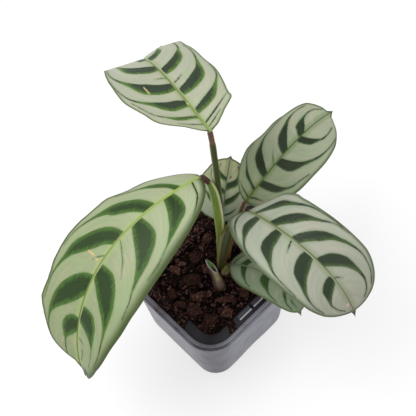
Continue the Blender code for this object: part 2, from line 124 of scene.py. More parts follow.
def grid_faces(rows, columns, first=0, flip=False, closed=False):
    """Quads over a grid of vertices; closed joins the last column to the first."""
    r, c = np.meshgrid(np.arange(rows - 1), np.arange(columns if closed else columns - 1), indexing="ij")
    a = first + r * columns + c
    b = first + r * columns + (c + 1) % columns
    quads = np.stack([a, b, b + columns, a + columns], -1).reshape(-1, 4)
    return quads[:, ::-1] if flip else quads


def tube_faces(rings, sides, ends=True):
    """Quads between rings of vertices, and a face over each end."""
    faces = grid_faces(rings, sides, closed=True).tolist()
    return faces + [list(range(start, start + sides)) for start in (0, (rings - 1) * sides) if ends]


def through(points, steps=10):
    """A smooth line through the points."""
    p = np.array(points, float)
    if len(p) < 3:
        return p[0] + (p[-1] - p[0]) * np.linspace(0, 1, steps)[:, None]
    p = np.vstack([2 * p[0] - p[1], p, 2 * p[-1] - p[-2]])
    t = np.linspace(0, 1, steps, endpoint=False)[:, None]
    runs = []
    for a, b, c, d in zip(p, p[1:], p[2:], p[3:]):
        bends = (2 * a - 5 * b + 4 * c - d) * t**2 + (3 * b - a - 3 * c + d) * t**3
        runs.append((2 * b + (c - a) * t + bends) / 2)
    return np.vstack([*runs, p[-2:-1]])


def nearest(places, line):
    """How far each place is from the line, and what share of the line's points lies before that spot."""
    start, step = line[:-1], np.diff(line, axis=0)
    offset = places[:, None] - start
    share = np.clip((offset * step).sum(-1) / np.maximum((step**2).sum(-1), 1e-9), 0, 1)
    away = np.linalg.norm(offset - share[..., None] * step, axis=-1)
    best = away.argmin(1)
    rows = np.arange(len(places))
    return away[rows, best], (best + share[rows, best]) / len(step)


def within(places, outline):
    """Whether each place is inside the closed outline."""
    x, y = places[:, :1], places[:, 1:]
    ax, ay = outline.T
    bx, by = np.roll(outline, -1, 0).T
    crossing = ax + (y - ay) * (bx - ax) / np.where(by == ay, 1e-9, by - ay)
    return (((ay > y) != (by > y)) & (x < crossing)).sum(1) % 2 == 1


# Camera, lamps and floor

CAMERA_TARGET = Vector((-0.041, 0.038, 0.072))
CAMERA_DISTANCE = 0.70
CAMERA_AZIMUTH = radians(52.7)
CAMERA_ELEVATION = radians(65.0)
CAMERA_ROLL = radians(-8.3)
CAMERA_LENS = 81.35

FLOOR_HALF = 3.0
FLOOR_LEVEL = -0.0002  # just under the pot, so that the two faces don't coincide
FLOOR_NEAR = 0.16  # inside this radius the floor is painted, beyond FLOOR_FAR it is a white backdrop
FLOOR_FAR = 0.42
FLOOR_WHITENED = 0.62  # share of backdrop in the painted part
SKY_STRENGTH = 0.62

# Each lamp: place, width, power in watts.
LAMPS = {
    "key": ((-0.55, -0.35, 1.25), 0.9, 13.0),
    "fill": ((0.9, -0.8, 0.9), 0.9, 4.0),
    "back": ((0.2, 1.0, 0.9), 0.9, 4.0),
}


def stand(thing, place, turn):
    """Link a camera or lamp into the scene, at a place and with a turn."""
    stood = bpy.data.objects.new(thing.name, thing)
    stood.location = place
    stood.rotation_euler = turn.to_euler()
    bpy.context.scene.collection.objects.link(stood)
    return stood


def make_camera():
    """Above the pot's front corner, looking down on it."""
    level = cos(CAMERA_ELEVATION)
    back = Vector((sin(CAMERA_AZIMUTH) * level, -cos(CAMERA_AZIMUTH) * level, sin(CAMERA_ELEVATION)))
    right = Vector((cos(CAMERA_AZIMUTH), sin(CAMERA_AZIMUTH), 0.0))
    axes = Matrix((right, back.cross(right), back)).transposed()
    data = bpy.data.cameras.new("camera")
    data.lens = CAMERA_LENS
    data.clip_start = 0.01
    data.clip_end = 20.0
    turn = axes @ Matrix.Rotation(CAMERA_ROLL, 3, "Z")
    bpy.context.scene.camera = stand(data, CAMERA_TARGET + back * CAMERA_DISTANCE, turn)


def make_lamps():
    """Three soft lamps that face the scene's origin."""
    for name, (place, width, power) in LAMPS.items():
        data = bpy.data.lights.new(name, "AREA")
        data.size = width
        data.energy = power
        stand(data, place, Vector(place).to_track_quat("Z", "Y"))


def seen_directly(tree):
    """One for rays that show the backdrop itself: straight from the camera, off gloss, or through glass."""
    rays = add(tree, "LightPath").outputs
    either = add(tree, "Math", (rays["Is Camera Ray"], rays["Is Glossy Ray"]), operation="MAXIMUM")
    return add(tree, "Math", (either, rays["Is Transmission Ray"]), operation="MAXIMUM")


def make_world():
    """A soft even sky that is seen itself as pure white."""
    world = bpy.data.worlds.new("studio")
    world.use_nodes = True
    tree = world.node_tree
    sky = tree.nodes["Background"]
    feed(tree, sky, ("#ffffff", SKY_STRENGTH))
    white = add(tree, "Background", ("#ffffff", 1.0))
    mixed = add(tree, "MixShader", (seen_directly(tree), sky, white))
    feed(tree, tree.nodes["World Output"], {"Surface": mixed})
    bpy.context.scene.world = world


def make_floor():
    """Matt white board near the pot, which carries its shadow, and a plain white backdrop further out."""
    made, tree, shader = new_material("matt white board", 0.9, 0.0)
    shader.inputs["Base Color"].default_value = linear("#f4f4f4")
    away = add(tree, "VectorMath", (add(tree, "TexCoord").outputs["Object"],), operation="LENGTH")
    fade = add(tree, "MapRange", (away, FLOOR_NEAR, FLOOR_FAR, FLOOR_WHITENED, 1.0), **SMOOTH)
    factor = add(tree, "Math", (fade, seen_directly(tree)), operation="MULTIPLY")
    mixed = add(tree, "MixShader", (factor, shader, add(tree, "Emission", ("#ffffff", 1.0))))
    # Clear from below, so that the pot's underside can be seen.
    below = add(tree, "NewGeometry").outputs["Backfacing"]
    seen = add(tree, "MixShader", (below, mixed, add(tree, "BsdfTransparent")))
    feed(tree, tree.nodes["Material Output"], {"Surface": seen})
    corners = [(x * FLOOR_HALF, y * FLOOR_HALF, FLOOR_LEVEL) for x, y in ((-1, -1), (1, -1), (1, 1), (-1, 1))]
    mesh = bpy.data.meshes.new("floor")
    mesh.from_pydata(corners, [], [(0, 1, 2, 3)])
    mesh.materials.append(made)
    floor = bpy.data.objects.new("floor", mesh)
    bpy.context.scene.collection.objects.link(floor)


# Leaf blades

Half = namedtuple("Half", "width fold curl widest base_power tip_power")
Leaf = namedtuple("Leaf", "length base heading pitch roll left right root rise drop")

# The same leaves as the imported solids: angles in degrees for the blade's base, middle and tip.
LEAVES = {
    "tall": Leaf(
        length=0.107, base=(-0.027, 0.038, 0.206), heading=(167, 170, 167), pitch=(-5, -13, -92),
        roll=(8, 4, -1), left=Half(0.035, (18, 10, 13), (13, -1, 6), 0.47, 0.52, 0.49),
        right=Half(0.0295, (15, 9, 17), (13, -31, -1), 0.43, 0.48, 0.48), root=(-0.0108, 0.0221),
        rise=(-0.0070, 0.0110, 0.0470), drop=(-0.0005, 0.0005, 0.0165),
    ),
    "front": Leaf(
        length=0.174, base=(-0.027, 0.025, 0.163), heading=(-102, -82, -42), pitch=(4, -25, -75),
        roll=(22, 21, 39), left=Half(0.039, (3, 2, 23), (-25, -28, 21), 0.57, 0.44, 0.46),
        right=Half(0.039, (1, 7, 5), (-35, -14, -6), 0.60, 0.47, 0.39), root=(-0.0073, 0.0169),
        rise=(-0.0037, 0.0065, 0.0320), drop=(-0.0050, -0.0080, 0.0105),
    ),
    "back": Leaf(
        length=0.050, base=(-0.022, 0.0355, 0.080), heading=(131, 124, 120), pitch=(46, 40, 28),
        roll=(-3, -1, -1), left=Half(0.019, (4, 6, 6), (-26, -18, -20), 0.47, 0.47, 0.56),
        right=Half(0.019, (5, 6, 5), (-21, -20, -21), 0.48, 0.47, 0.50), root=(-0.0145, 0.0245),
        rise=(0.0, 0.0, 0.0041), drop=(-0.0014, 0.0016, 0.0036),
    ),
    "far": Leaf(
        length=0.097, base=(-0.010, 0.0475, 0.113), heading=(88, 93, 87), pitch=(39, 4, -23),
        roll=(-1, 0, 11), left=Half(0.0255, (6, 1, 11), (-19, -37, -5), 0.43, 0.53, 0.45),
        right=Half(0.026, (6, 9, 2), (-21, -11, -29), 0.50, 0.45, 0.54), root=(-0.0024, 0.0131),
        rise=(0.0037, -0.0031, 0.0240), drop=(0.0036, 0.0130, 0.0032),
    ),
    "side": Leaf(
        length=0.123, base=(-0.001, 0.040, 0.1245), heading=(-12, 1, -10), pitch=(52, -1, -66),
        roll=(-5, 5, 6), left=Half(0.0285, (5, 18, 7), (-21, 18, -18), 0.67, 0.45, 0.52),
        right=Half(0.0295, (12, 10, 6), (-4, -9, -17), 0.52, 0.44, 0.48), root=(-0.0050, 0.0219),
        rise=(-0.0033, 0.0045, 0.0200), drop=(0.0047, -0.0015, 0.0108),
    ),
    "low": Leaf(
        length=0.075, base=(0.0045, 0.0155, 0.080), heading=(22, 4, -19), pitch=(44, 16, -33),
        roll=(3, 0, -3), left=Half(0.0185, (5, 6, 6), (-23, -20, -20), 0.48, 0.47, 0.52),
        right=Half(0.016, (2, 7, 8), (-31, -17, -16), 0.44, 0.48, 0.51), root=(0.0029, 0.0107),
        rise=(0.0016, -0.0015, 0.0044), drop=(0.0013, 0.0013, 0.0030),
    ),
}

TIP_START = 0.955
CUSP_WIDTH = 0.085
LEAST_HALF_WIDTH = 0.0009
BLADE_THICKNESS = 0.0006
MIDRIB_DEPTH = 0.0015

# Dark markings on each half of each blade, in millimetres. A patch has its edge towards the base, its edge
# towards the tip, and the thin tail that it draws out along the margin. A streak is a thin dark line.
Patch = namedtuple("Patch", "base_side tip_side tail")
PATCHES = {
    ("front", "left"): (
        Patch(
            ((21, 0), (20, 8), (21, 14), (24, 18), (30, 21), (40, 25)),
            ((29, 0), (32, 9), (36, 16), (40, 21), (48, 27)), ((54, 29.5), (62, 32), (75, 33.5)),
        ),
        Patch(
            ((47, 0), (46, 8), (47, 15), (52, 20.5), (60, 24.5), (70, 27.5)),
            ((56, 0), (61, 8), (66, 15), (72, 21), (80, 26)), ((88, 29.5), (96, 32), (108, 33.5)),
        ),
        Patch(
            ((86, 0), (86, 9), (88, 14), (94, 19), (101, 22.5), (110, 25)),
            ((98, 0), (104, 7), (110, 13), (115, 18), (121, 22)), ((130, 25), (141, 24.5), (150, 22)),
        ),
        Patch(
            ((117, 0), (117, 7), (119, 12), (124, 15.5), (131, 17)),
            ((130, 0), (132, 6), (135, 11), (139, 15)), ((143, 16.5), (150, 16), (156, 14.5)),
        ),
    ),
    ("front", "right"): (
        Patch(
            ((14, 0), (17, 6), (20, 11), (24, 16), (29, 20)), ((19, 0), (22, 7), (27, 13), (31, 18)),
            ((36, 23.5), (43, 28.5), (50, 33)),
        ),
        Patch(
            ((34, 0), (37, 8), (41, 15), (47, 21), (54, 26)),
            ((43, 0), (48, 8), (54, 14), (59, 19), (62, 24)), ((70, 32), (80, 36), (93, 38.5)),
        ),
        Patch(
            ((61, 0), (63, 9), (67, 16), (73, 22), (80, 27), (89, 32)),
            ((71, 0), (76, 8), (82, 13), (88, 19), (94, 26), (99, 30)), ((107, 34.5), (116, 36), (130, 37)),
        ),
        Patch(
            ((95, 0), (97, 8), (100, 13), (105, 18.5), (112, 24), (120, 28), (130, 30)),
            ((108, 0), (115, 6), (120, 11), (125, 17), (130, 23), (136, 27.5)),
            ((146, 29.5), (153, 28), (158, 25)),
        ),
        Patch(
            ((127, 0), (127, 7), (130, 12), (135, 15), (141, 15.5)), ((136, 0), (141, 5), (146, 10)),
            ((150, 12.5), (156, 12.5), (163, 12)),
        ),
    ),
    ("tall", "left"): (
        Patch(
            ((11, 0), (12.5, 6), (13, 11), (15, 16)), ((13.5, 0), (15.5, 8), (17, 14)),
            ((20, 21), (26, 27.5), (40, 32.5)),
        ),
        Patch(
            ((22, 0), (22, 8), (22.5, 13), (25.5, 18), (30, 21.5)),
            ((27, 0), (29.5, 7), (31, 13), (34, 20)), ((38, 27.5), (45, 32), (55, 34), (66, 33)),
        ),
        Patch(
            ((37, 0), (37, 8), (38.5, 14), (42, 20), (47, 23.5)), ((43, 0), (46, 9), (50, 15), (53, 20)),
            ((59, 27), (66, 29), (74, 29), (83, 27)),
        ),
        Patch(
            ((58, 0), (58, 7), (61, 13), (65, 18), (71, 20.5)), ((63.5, 0), (67, 7), (70, 12), (76, 17)),
            ((84, 20), (94, 18), (101, 13)),
        ),
        Patch(((76, 0), (76, 3), (79, 6.5)), ((84, 0), (88, 2), (91, 4)), ((94, 5), (97, 3), (99, 0.5))),
    ),
    ("tall", "right"): (
        Patch(
            ((14.5, 0), (15.5, 7), (17.5, 13), (21, 18)), ((19, 0), (21.5, 7), (24, 13), (26.5, 18.5)),
            ((31, 25), (36, 27.5), (44, 28.5)),
        ),
        Patch(
            ((31, 0), (31, 7), (33, 14), (36, 19), (41, 22)), ((37, 0), (39, 7), (42, 13), (46, 19)),
            ((53, 24), (61, 25.5), (73, 25)),
        ),
        Patch(
            ((51.5, 0), (51.5, 6), (54, 11.5), (58, 16.5), (63, 18.5)), ((58.5, 0), (60, 6), (63, 12)),
            ((69, 19.5), (78, 21.5), (88, 20)),
        ),
        Patch(
            ((71.5, 0), (71.5, 4), (74, 8.5), (78, 11)), ((79, 0), (79.5, 6)),
            ((84, 11), (90, 12), (97, 13)),
        ),
    ),
    ("side", "left"): (
        Patch(
            ((11, 0), (14, 5), (19, 10.5), (25, 15.5), (31, 18.5)),
            ((13.5, 0), (20, 5.5), (27, 10.5), (33, 15)), ((41, 20.5), (51, 24.5), (61, 26.5), (71, 27.5)),
        ),
        Patch(
            ((30, 0), (33, 5), (37, 9.5), (43, 14.5), (50, 18.5)),
            ((36, 0), (42, 5.5), (47, 9.5), (52, 14.5)), ((60, 21.5), (67, 25.5), (75, 27.5)),
        ),
        Patch(
            ((50.5, 0), (53, 5), (57, 10), (62, 15), (68, 19)), ((57, 0), (62, 6), (67, 11), (72, 17)),
            ((80, 23), (88, 24.5), (98, 22), (105, 18)),
        ),
        Patch(
            ((72, 0), (74, 6), (77, 11), (82, 15), (87, 16.5)), ((79, 0), (84, 6.5), (89, 12)),
            ((95, 16), (101, 16), (107, 13.5), (111, 10)),
        ),
    ),
    ("side", "right"): (
        Patch(
            ((16.5, 0), (17, 6), (18.5, 11), (23, 16)), ((22, 0), (24.5, 7), (27, 14)),
            ((31, 21.5), (38, 26), (48, 28)),
        ),
        Patch(
            ((38.5, 0), (38.5, 7), (39.5, 13), (42.5, 18), (48, 21)), ((44.5, 0), (46.5, 7), (49, 14)),
            ((56, 23.5), (64, 26), (80, 26)),
        ),
        Patch(
            ((63.5, 0), (63.5, 6), (65.5, 12), (69, 16.5), (75, 18.7)), ((71, 0), (74, 7), (78, 14)),
            ((85, 20.5), (94, 21), (104, 18)),
        ),
        Patch(
            ((86, 0), (86, 4), (88.5, 9), (93, 11.5)), ((92, 0), (95, 5), (99, 9)),
            ((103, 11), (109, 8.5), (113, 5)),
        ),
    ),
    ("far", "left"): (
        Patch(
            ((10, 0), (12.5, 6), (15, 12.5), (20, 17)), ((12.5, 0), (15, 7), (19, 14)),
            ((25, 21.5), (31, 24.5), (38, 25.5)),
        ),
        Patch(
            ((21.5, 0), (23, 6), (26, 11.5), (31, 16.5)), ((26, 0), (30, 6), (34, 11.5), (38, 16)),
            ((46, 21.5), (55, 22), (65, 21)),
        ),
        Patch(
            ((42.5, 0), (45, 5.5), (49, 10), (55, 13.5)), ((48, 0), (53, 5), (59, 10)),
            ((67, 16), (75, 17), (83, 15)),
        ),
        Patch(
            ((60, 0), (63, 5), (67, 8.5)), ((66, 0), (70, 3.5), (74, 7.5)), ((79, 9.5), (85, 8.5), (90, 5)),
        ),
    ),
    ("far", "right"): (
        Patch(
            ((15, 0), (16, 6), (18, 12), (21, 16)), ((20, 0), (22, 7), (24.5, 15)),
            ((28, 20), (34, 22), (42, 24.5)),
        ),
        Patch(
            ((34, 0), (34, 6), (35, 11), (39, 15)), ((40, 0), (42, 7), (46, 14)),
            ((53, 19.5), (62, 21), (72, 20), (80, 18)),
        ),
        Patch(
            ((56.5, 0), (57, 4), (59.5, 9), (63, 11)), ((62, 0), (65, 7)), ((70, 12.3), (78, 12), (85, 10)),
        ),
    ),
    ("back", "left"): (
        Patch(((11, 0), (13, 6), (16, 11)), ((15, 0), (18, 6), (20, 11)), ((24, 15.5), (30, 17))),
        Patch(((21, 0), (23, 4), (26, 8)), ((24.5, 0), (27, 4), (29, 8)), ((33, 11.5), (38, 12))),
        Patch(((31, 0), (32, 3), (34, 6)), ((34, 0), (36, 3.5)), ((39, 7), (43, 6))),
    ),
    ("back", "right"): (
        Patch(
            ((12.5, 0), (14, 3.5), (17, 7), (21, 9.5)), ((17.5, 0), (19.5, 4), (23, 8)),
            ((28, 12.3), (34, 12.5)),
        ),
        Patch(
            ((24, 0), (26, 3.5), (28.5, 7.5), (33, 9)), ((30, 0), (31.5, 3.5), (34, 6.5)),
            ((38.5, 8.5), (43, 7)),
        ),
    ),
    ("low", "left"): (
        Patch(
            ((11, 0), (14, 4), (18, 8.5), (23, 11.5)), ((17.5, 0), (21, 4), (25, 8.5)),
            ((31, 13.5), (38, 15.5), (46, 16)),
        ),
        Patch(
            ((32, 0), (34, 4), (38, 8)), ((38.5, 0), (41.5, 4), (45, 8)),
            ((50, 10.5), (56, 11.5), (62, 9.5)),
        ),
        Patch(((50, 0), (52, 3), (55, 5)), ((54.5, 0), (57.5, 3)), ((61, 5.5), (66, 4.5))),
    ),
    ("low", "right"): (
        Patch(
            ((12, 0), (14, 3.5), (17, 7), (20, 9)), ((18.5, 0), (20, 4), (22, 8)), ((26, 12), (32, 13.5)),
        ),
        Patch(((34, 0), (34, 3.5), (36, 6.5), (40, 8.5)), ((41, 0), (42, 4)), ((48, 10), (57, 10.2))),
        Patch(((53, 0), (54.5, 2.5), (57, 4)), ((56, 0), (58, 2)), ((62, 5), (68, 4))),
    ),
}
Streak = namedtuple("Streak", "points half_width")
STREAKS = {
    ("front", "left"): (
        Streak(((7, 0), (8, 5), (10, 12), (15, 18), (21, 23)), 0.55),
        Streak(((67, 0), (70, 5), (75, 11), (80, 15), (86, 18.5)), 0.35),
        Streak(((141.5, 1), (142, 4), (143, 8)), 0.5), Streak(((149, 5), (154, 4.5), (161, 2)), 0.6),
    ),
    ("front", "right"): (Streak(((80, 1), (84, 6), (88, 9)), 0.3),),
    ("tall", "left"): (
        Streak(((6, 0), (7, 5), (9, 11), (12, 17)), 0.35), Streak(((48.5, 0), (50, 4), (51.5, 8.5)), 0.4),
    ),
    ("tall", "right"): (
        Streak(((3, 0), (5, 5), (9, 13)), 0.35), Streak(((6.5, 0), (9, 6), (12, 13), (17, 23)), 0.6),
        Streak(((42.5, 0), (43.5, 4), (45.5, 8.5)), 0.45),
    ),
    ("side", "left"): (Streak(((88.5, 0), (90, 3), (92.5, 5.5)), 0.35),),
    ("side", "right"): (
        Streak(((1, 1), (4, 5), (9, 11), (16, 17), (26, 23)), 0.7),
        Streak(((52.5, 0), (54, 4), (56.5, 9)), 0.5),
    ),
    ("far", "left"): (
        Streak(((4, 0), (5, 3), (6.5, 8), (9, 14)), 0.4), Streak(((32.5, 0), (36, 3.5), (41, 8)), 0.35),
    ),
    ("far", "right"): (Streak(((4.5, 0), (7, 4), (9, 10)), 0.5),),
    ("back", "right"): (Streak(((5, 0), (7.5, 5), (11.5, 9)), 0.6),),
    ("low", "left"): (Streak(((3.5, 0), (6, 3), (10, 7)), 0.6),),
    ("low", "right"): (Streak(((61, 0), (64, 1.2), (68, 0.5)), 0.4),),
}
# Dry scratches and bruises.
SCARS = {
    ("front", "right"): (Streak(((86.5, 4.5), (85.5, 9.5), (85, 16)), 0.28),),
    ("front", "left"): (Streak(((152, 3), (155, 4.5), (158, 8)), 0.2),),
    ("tall", "left"): (
        Streak(((48.5, 18.2), (45.5, 18.1), (42, 18)), 0.4), Streak(((24, 1.4), (24.5, 1.6)), 0.6),
    ),
    ("side", "right"): (Streak(((109.5, 1.5), (110.5, 2)), 0.9),),
    ("far", "right"): (Streak(((7, 8), (8, 12), (10, 15)), 0.8),),
    ("back", "right"): (Streak(((34, 2.3), (35, 2.8)), 0.6),),
}
TAIL_END = 0.28  # half a tail's width where it runs out, in millimetres
TAIL_TAPER = 3.2  # power with which it narrows from the patch's own width
BLEND = 0.5  # millimetres over which a tail runs smoothly into its patch
REACH = 7.0  # millimetres beyond which a marking's distance isn't needed
STREAK_TAPER = 2.2
SCAR_BLUR = 0.35  # millimetres

# Where the midrib's line really runs, in millimetres to the left of the fold, for base, middle and tip.
NO_SHIFT = (0, 0, 0)
MIDRIB_SHIFT = {"front": (0.0, -1.9, -1.0), "tall": (0.4, 1.0, 0.5), "side": (0.3, 0.8, 0.3)}
# Width of the darker band inside each margin, in millimetres, for base, middle and tip.
MARGIN_BAND = {
    ("front", "left"): (5.0, 7.8, 6.5),
    ("front", "right"): (2.2, 2.6, 3.0),
    ("tall", "left"): (1.8, 1.8, 2.4),
    ("tall", "right"): (2.0, 1.8, 2.0),
    ("side", "left"): (2.4, 2.4, 2.2),
    ("side", "right"): (4.5, 3.4, 2.4),
    ("far", "left"): (2.2, 2.2, 1.8),
    ("far", "right"): (3.0, 2.6, 1.8),
    ("back", "left"): (1.8, 1.8, 1.6),
    ("back", "right"): (1.8, 1.8, 1.6),
    ("low", "left"): (1.8, 1.8, 1.5),
    ("low", "right"): (2.6, 2.4, 1.6),
}

# Millimetres added to a half's width at distances along the blade, for the waves and corners of its margin.
WAVES = {
    ("front", "right"): (
        (0, 0), (20, 0.3), (33, -0.8), (40, -1.2), (54, 1.5), (61, 0.9), (75, 2.0), (82, 1.3), (96, 2.2),
        (104, 1.5), (111, -0.2), (117, 0.5), (124, 3.0), (130, 4.5), (138, 2.2), (145, 2.0), (158, 4.0),
        (166, 2.5), (172, 0),
    ),
    ("front", "left"): (
        (0, 0), (150, 0), (160, 2.2), (165, 5.4), (168, 7.0), (170, 6.6), (171.5, 4.0), (172.5, 0),
        (174, 0),
    ),
    ("tall", "left"): (
        (0, 0), (3, -2.0), (7, -2.8), (12, 0.4), (16, 1.8), (20, 1.8), (26, 0.8), (34, 1.0), (42, 1.2),
        (50, 1.0), (60, 0.5), (70, 0.4), (80, 1.3), (84, 2.6), (88, 3.0), (93, 2.4), (98, 1.6), (107, 0),
    ),
    ("tall", "right"): (
        (0, 0), (3, -2.0), (7, -1.4), (12, 2.8), (14, 2.6), (16, 1.2), (20, 0.2), (64, 0.2), (72, 1.0),
        (78, 2.6), (81, 3.4), (85, -1.0), (89, -3.6), (92, -1.0), (96, 3.6), (100, 5.2), (103, 6.0),
        (105, 5.0), (107, 0),
    ),
    ("far", "left"): (
        (0, 0), (14, 1.5), (22, 2.8), (30, 3.0), (38, 2.0), (46, 1.2), (54, 0.5), (68, 0), (77, 1.2),
        (85, 2.0), (90, 0), (97, 0),
    ),
    ("far", "right"): (
        (0, 0), (3, 5.2), (8, 5.4), (14, 3.2), (20, 1.4), (30, 1.8), (50, 1.4), (70, 1.6), (82, 2.2),
        (88, 2.6), (92, 1.0), (97, 0),
    ),
    ("side", "left"): (
        (0, 0), (30, 1.0), (38, 1.4), (43, 0.2), (68, 0), (87, 1.0), (97, 0.2), (112, -1.0), (123, 0),
    ),
    ("side", "right"): (
        (0, 0), (3, 1.6), (8, 1.6), (16, 0.2), (85, 0), (92, 0.6), (107, 1.0), (112, 0.2), (117, -1.2),
        (123, 0),
    ),
    ("back", "left"): (
        (0, 0), (4, 3.4), (9, 4.2), (14, 3.6), (20, 2.0), (32, 1.6), (38, 0.5), (45, 1.5), (50, 0),
    ),
}

CELL = 0.68 * MM  # size of the mesh's cells on a blade
CROWDING = 0.93  # below one, the cells are closer together at the margin
LAMINA = 0.45 * MM
LAMINA_AT_MARGIN = 0.16 * MM
MARGIN_TAPER = 3.0  # millimetres over which the lamina thins
VEIN_GROOVE = 0.35 * MM
GROOVE_HALF_WIDTH = 1.1  # millimetres
KEEL_DEPTH = 1.15 * MM
KEEL_HALF_WIDTH = 1.1 * MM
GROOVE_FADE = 0.7  # share of the groove's depth, and of the keel's, that is lost towards the tip
KEEL_FADE = 0.82
RIDGE_HEIGHT = 0.10 * MM
RIDGE_SPACING = 4.6  # millimetres between neighbouring main side veins
VEIN_SWEEP = 14.0  # how far the side veins sweep towards the tip, in millimetres, on the widest blade
VEIN_HOOK = 8.0  # and how far more they hook forward next to its margin
WIDEST_HALF = 39 * MM
RIPPLE_HEIGHT = 0.55 * MM
RIPPLE_LENGTH = 27.0  # millimetres from one wave of the margin to the next
RIPPLE_BY_LEAF = 1.7  # how far the waves are shifted from leaf to leaf, and on each half, in radians
RIPPLE_BY_HALF = 0.9


def between(three, s):
    """The smooth value at s that passes through the base, middle and tip values."""
    base, middle, tip = three
    return base * (1 - s) * (1 - 2 * s) + middle * 4 * s * (1 - s) + tip * s * (2 * s - 1)


def half_width(name, side, half, length, s):
    """Half the blade's width along it: oblong, with a thin drawn-out tip and the waves of its margin."""
    u = np.clip(s / TIP_START, 0, 1)
    towards_base = np.clip(1 - ((half.widest - u) / half.widest) ** 2, 0, 1) ** half.base_power
    towards_tip = np.clip(1 - ((u - half.widest) / (1 - half.widest)) ** 2, 0, 1) ** half.tip_power
    body = np.where(u < half.widest, towards_base, towards_tip)
    cusp = np.where(s > 0.9, CUSP_WIDTH * (np.clip(1 - s, 0, 1) / (1 - TIP_START)) ** 1.15, 0)
    least = LEAST_HALF_WIDTH * (1.2 - s)
    waves = WAVES.get((name, side), ((0, 0), (1, 0)))
    extra = np.interp(s * length / MM, *np.array(waves, float).T) * MM
    return np.maximum(np.maximum(half.width * np.maximum(body, cusp), least) + extra, least)


def midrib_frame(leaf, s):
    """Points on the midrib, with the directions along it, to its left and up from it."""
    heading = np.radians(between(leaf.heading, s))
    pitch = np.radians(between(leaf.pitch, s))
    roll = np.radians(between(leaf.roll, s))[:, None]
    along = np.stack([np.cos(pitch) * np.cos(heading), np.cos(pitch) * np.sin(heading), np.sin(pitch)], -1)
    level = np.stack([-np.sin(heading), np.cos(heading), 0 * heading], -1)
    upright = np.cross(along, level)
    left = level * np.cos(roll) + upright * np.sin(roll)
    up = upright * np.cos(roll) - level * np.sin(roll)
    steps = (along[1:] + along[:-1]) / 2 * np.diff(s)[:, None] * leaf.length
    points = np.vstack([np.zeros(3), np.cumsum(steps, 0)]) + np.array(leaf.base)
    return points, along, left, up


def half_surface(leaf, half, width, sign, s, share):
    """One half of the blade's upper face: a row of points for each s, out from the midrib."""
    points, _, left, up = midrib_frame(leaf, s)
    fold = np.radians(between(half.fold, s))[:, None]
    curl = np.radians(between(half.curl, s))[:, None]
    curl = np.where(np.abs(curl) < 0.001, 0.001, curl)
    across = (np.sin(fold + curl * share) - np.sin(fold)) / curl
    rise = (np.cos(fold) - np.cos(fold + curl * share)) / curl
    width = width[:, None]
    outwards = (width * across)[..., None] * sign * left[:, None]
    return points[:, None] + outwards + (width * rise)[..., None] * up[:, None]


def patch_distance(patch, places):
    """How far each place is inside the patch, negative outside, and how far from its two edges."""
    edges = [through(((edge[0][0], -5), *edge, patch.tail[0])) for edge in (patch.base_side, patch.tip_side)]
    outline = np.vstack([edges[0], edges[1][-2::-1]])
    from_base, from_tip = (nearest(places, edge)[0] for edge in edges)
    body = np.minimum(from_base, from_tip) * np.where(within(places, outline), 1, -1)
    start = np.mean([patch.base_side[-1], patch.tip_side[-1]], 0)
    away, share = nearest(places, through((start, *patch.tail), 14))
    widest = min(nearest(start[None], edge)[0][0] for edge in edges)
    tail = TAIL_END + (widest - TAIL_END) * (1 - share) ** TAIL_TAPER - away
    overlap = np.clip(BLEND - np.abs(body - tail), 0, BLEND)
    return np.maximum(body, tail) + overlap**2 / (4 * BLEND), from_base, from_tip


def half_markings(name, side, places):
    """For places on half a blade: depth inside the dark markings, distance from their edges, and scars."""
    depth = np.full(len(places), -REACH)
    from_base = np.full(len(places), REACH)
    from_tip = np.full(len(places), REACH)
    scar = np.zeros(len(places))
    for patch in PATCHES[name, side]:
        marks = np.array([*patch.base_side, *patch.tip_side, *patch.tail], float)
        near = ((places > marks.min(0) - REACH) & (places < marks.max(0) + REACH)).all(1)
        rows = np.flatnonzero(near)
        inside, a, b = patch_distance(patch, places[rows])
        better = inside > depth[rows]
        rows, inside, a, b = rows[better], inside[better], a[better], b[better]
        depth[rows], from_base[rows], from_tip[rows] = inside, a, b
    for streak in STREAKS.get((name, side), ()):
        away, share = nearest(places, through(streak.points))
        depth = np.maximum(depth, streak.half_width * np.minimum(1, STREAK_TAPER * (1.05 - share)) - away)
    for mark in SCARS.get((name, side), ()):
        away, _ = nearest(places, through(mark.points))
        scar = np.maximum(scar, np.clip((mark.half_width - away) / SCAR_BLUR + 0.5, 0, 0.9))
    return depth, from_base, from_tip, scar


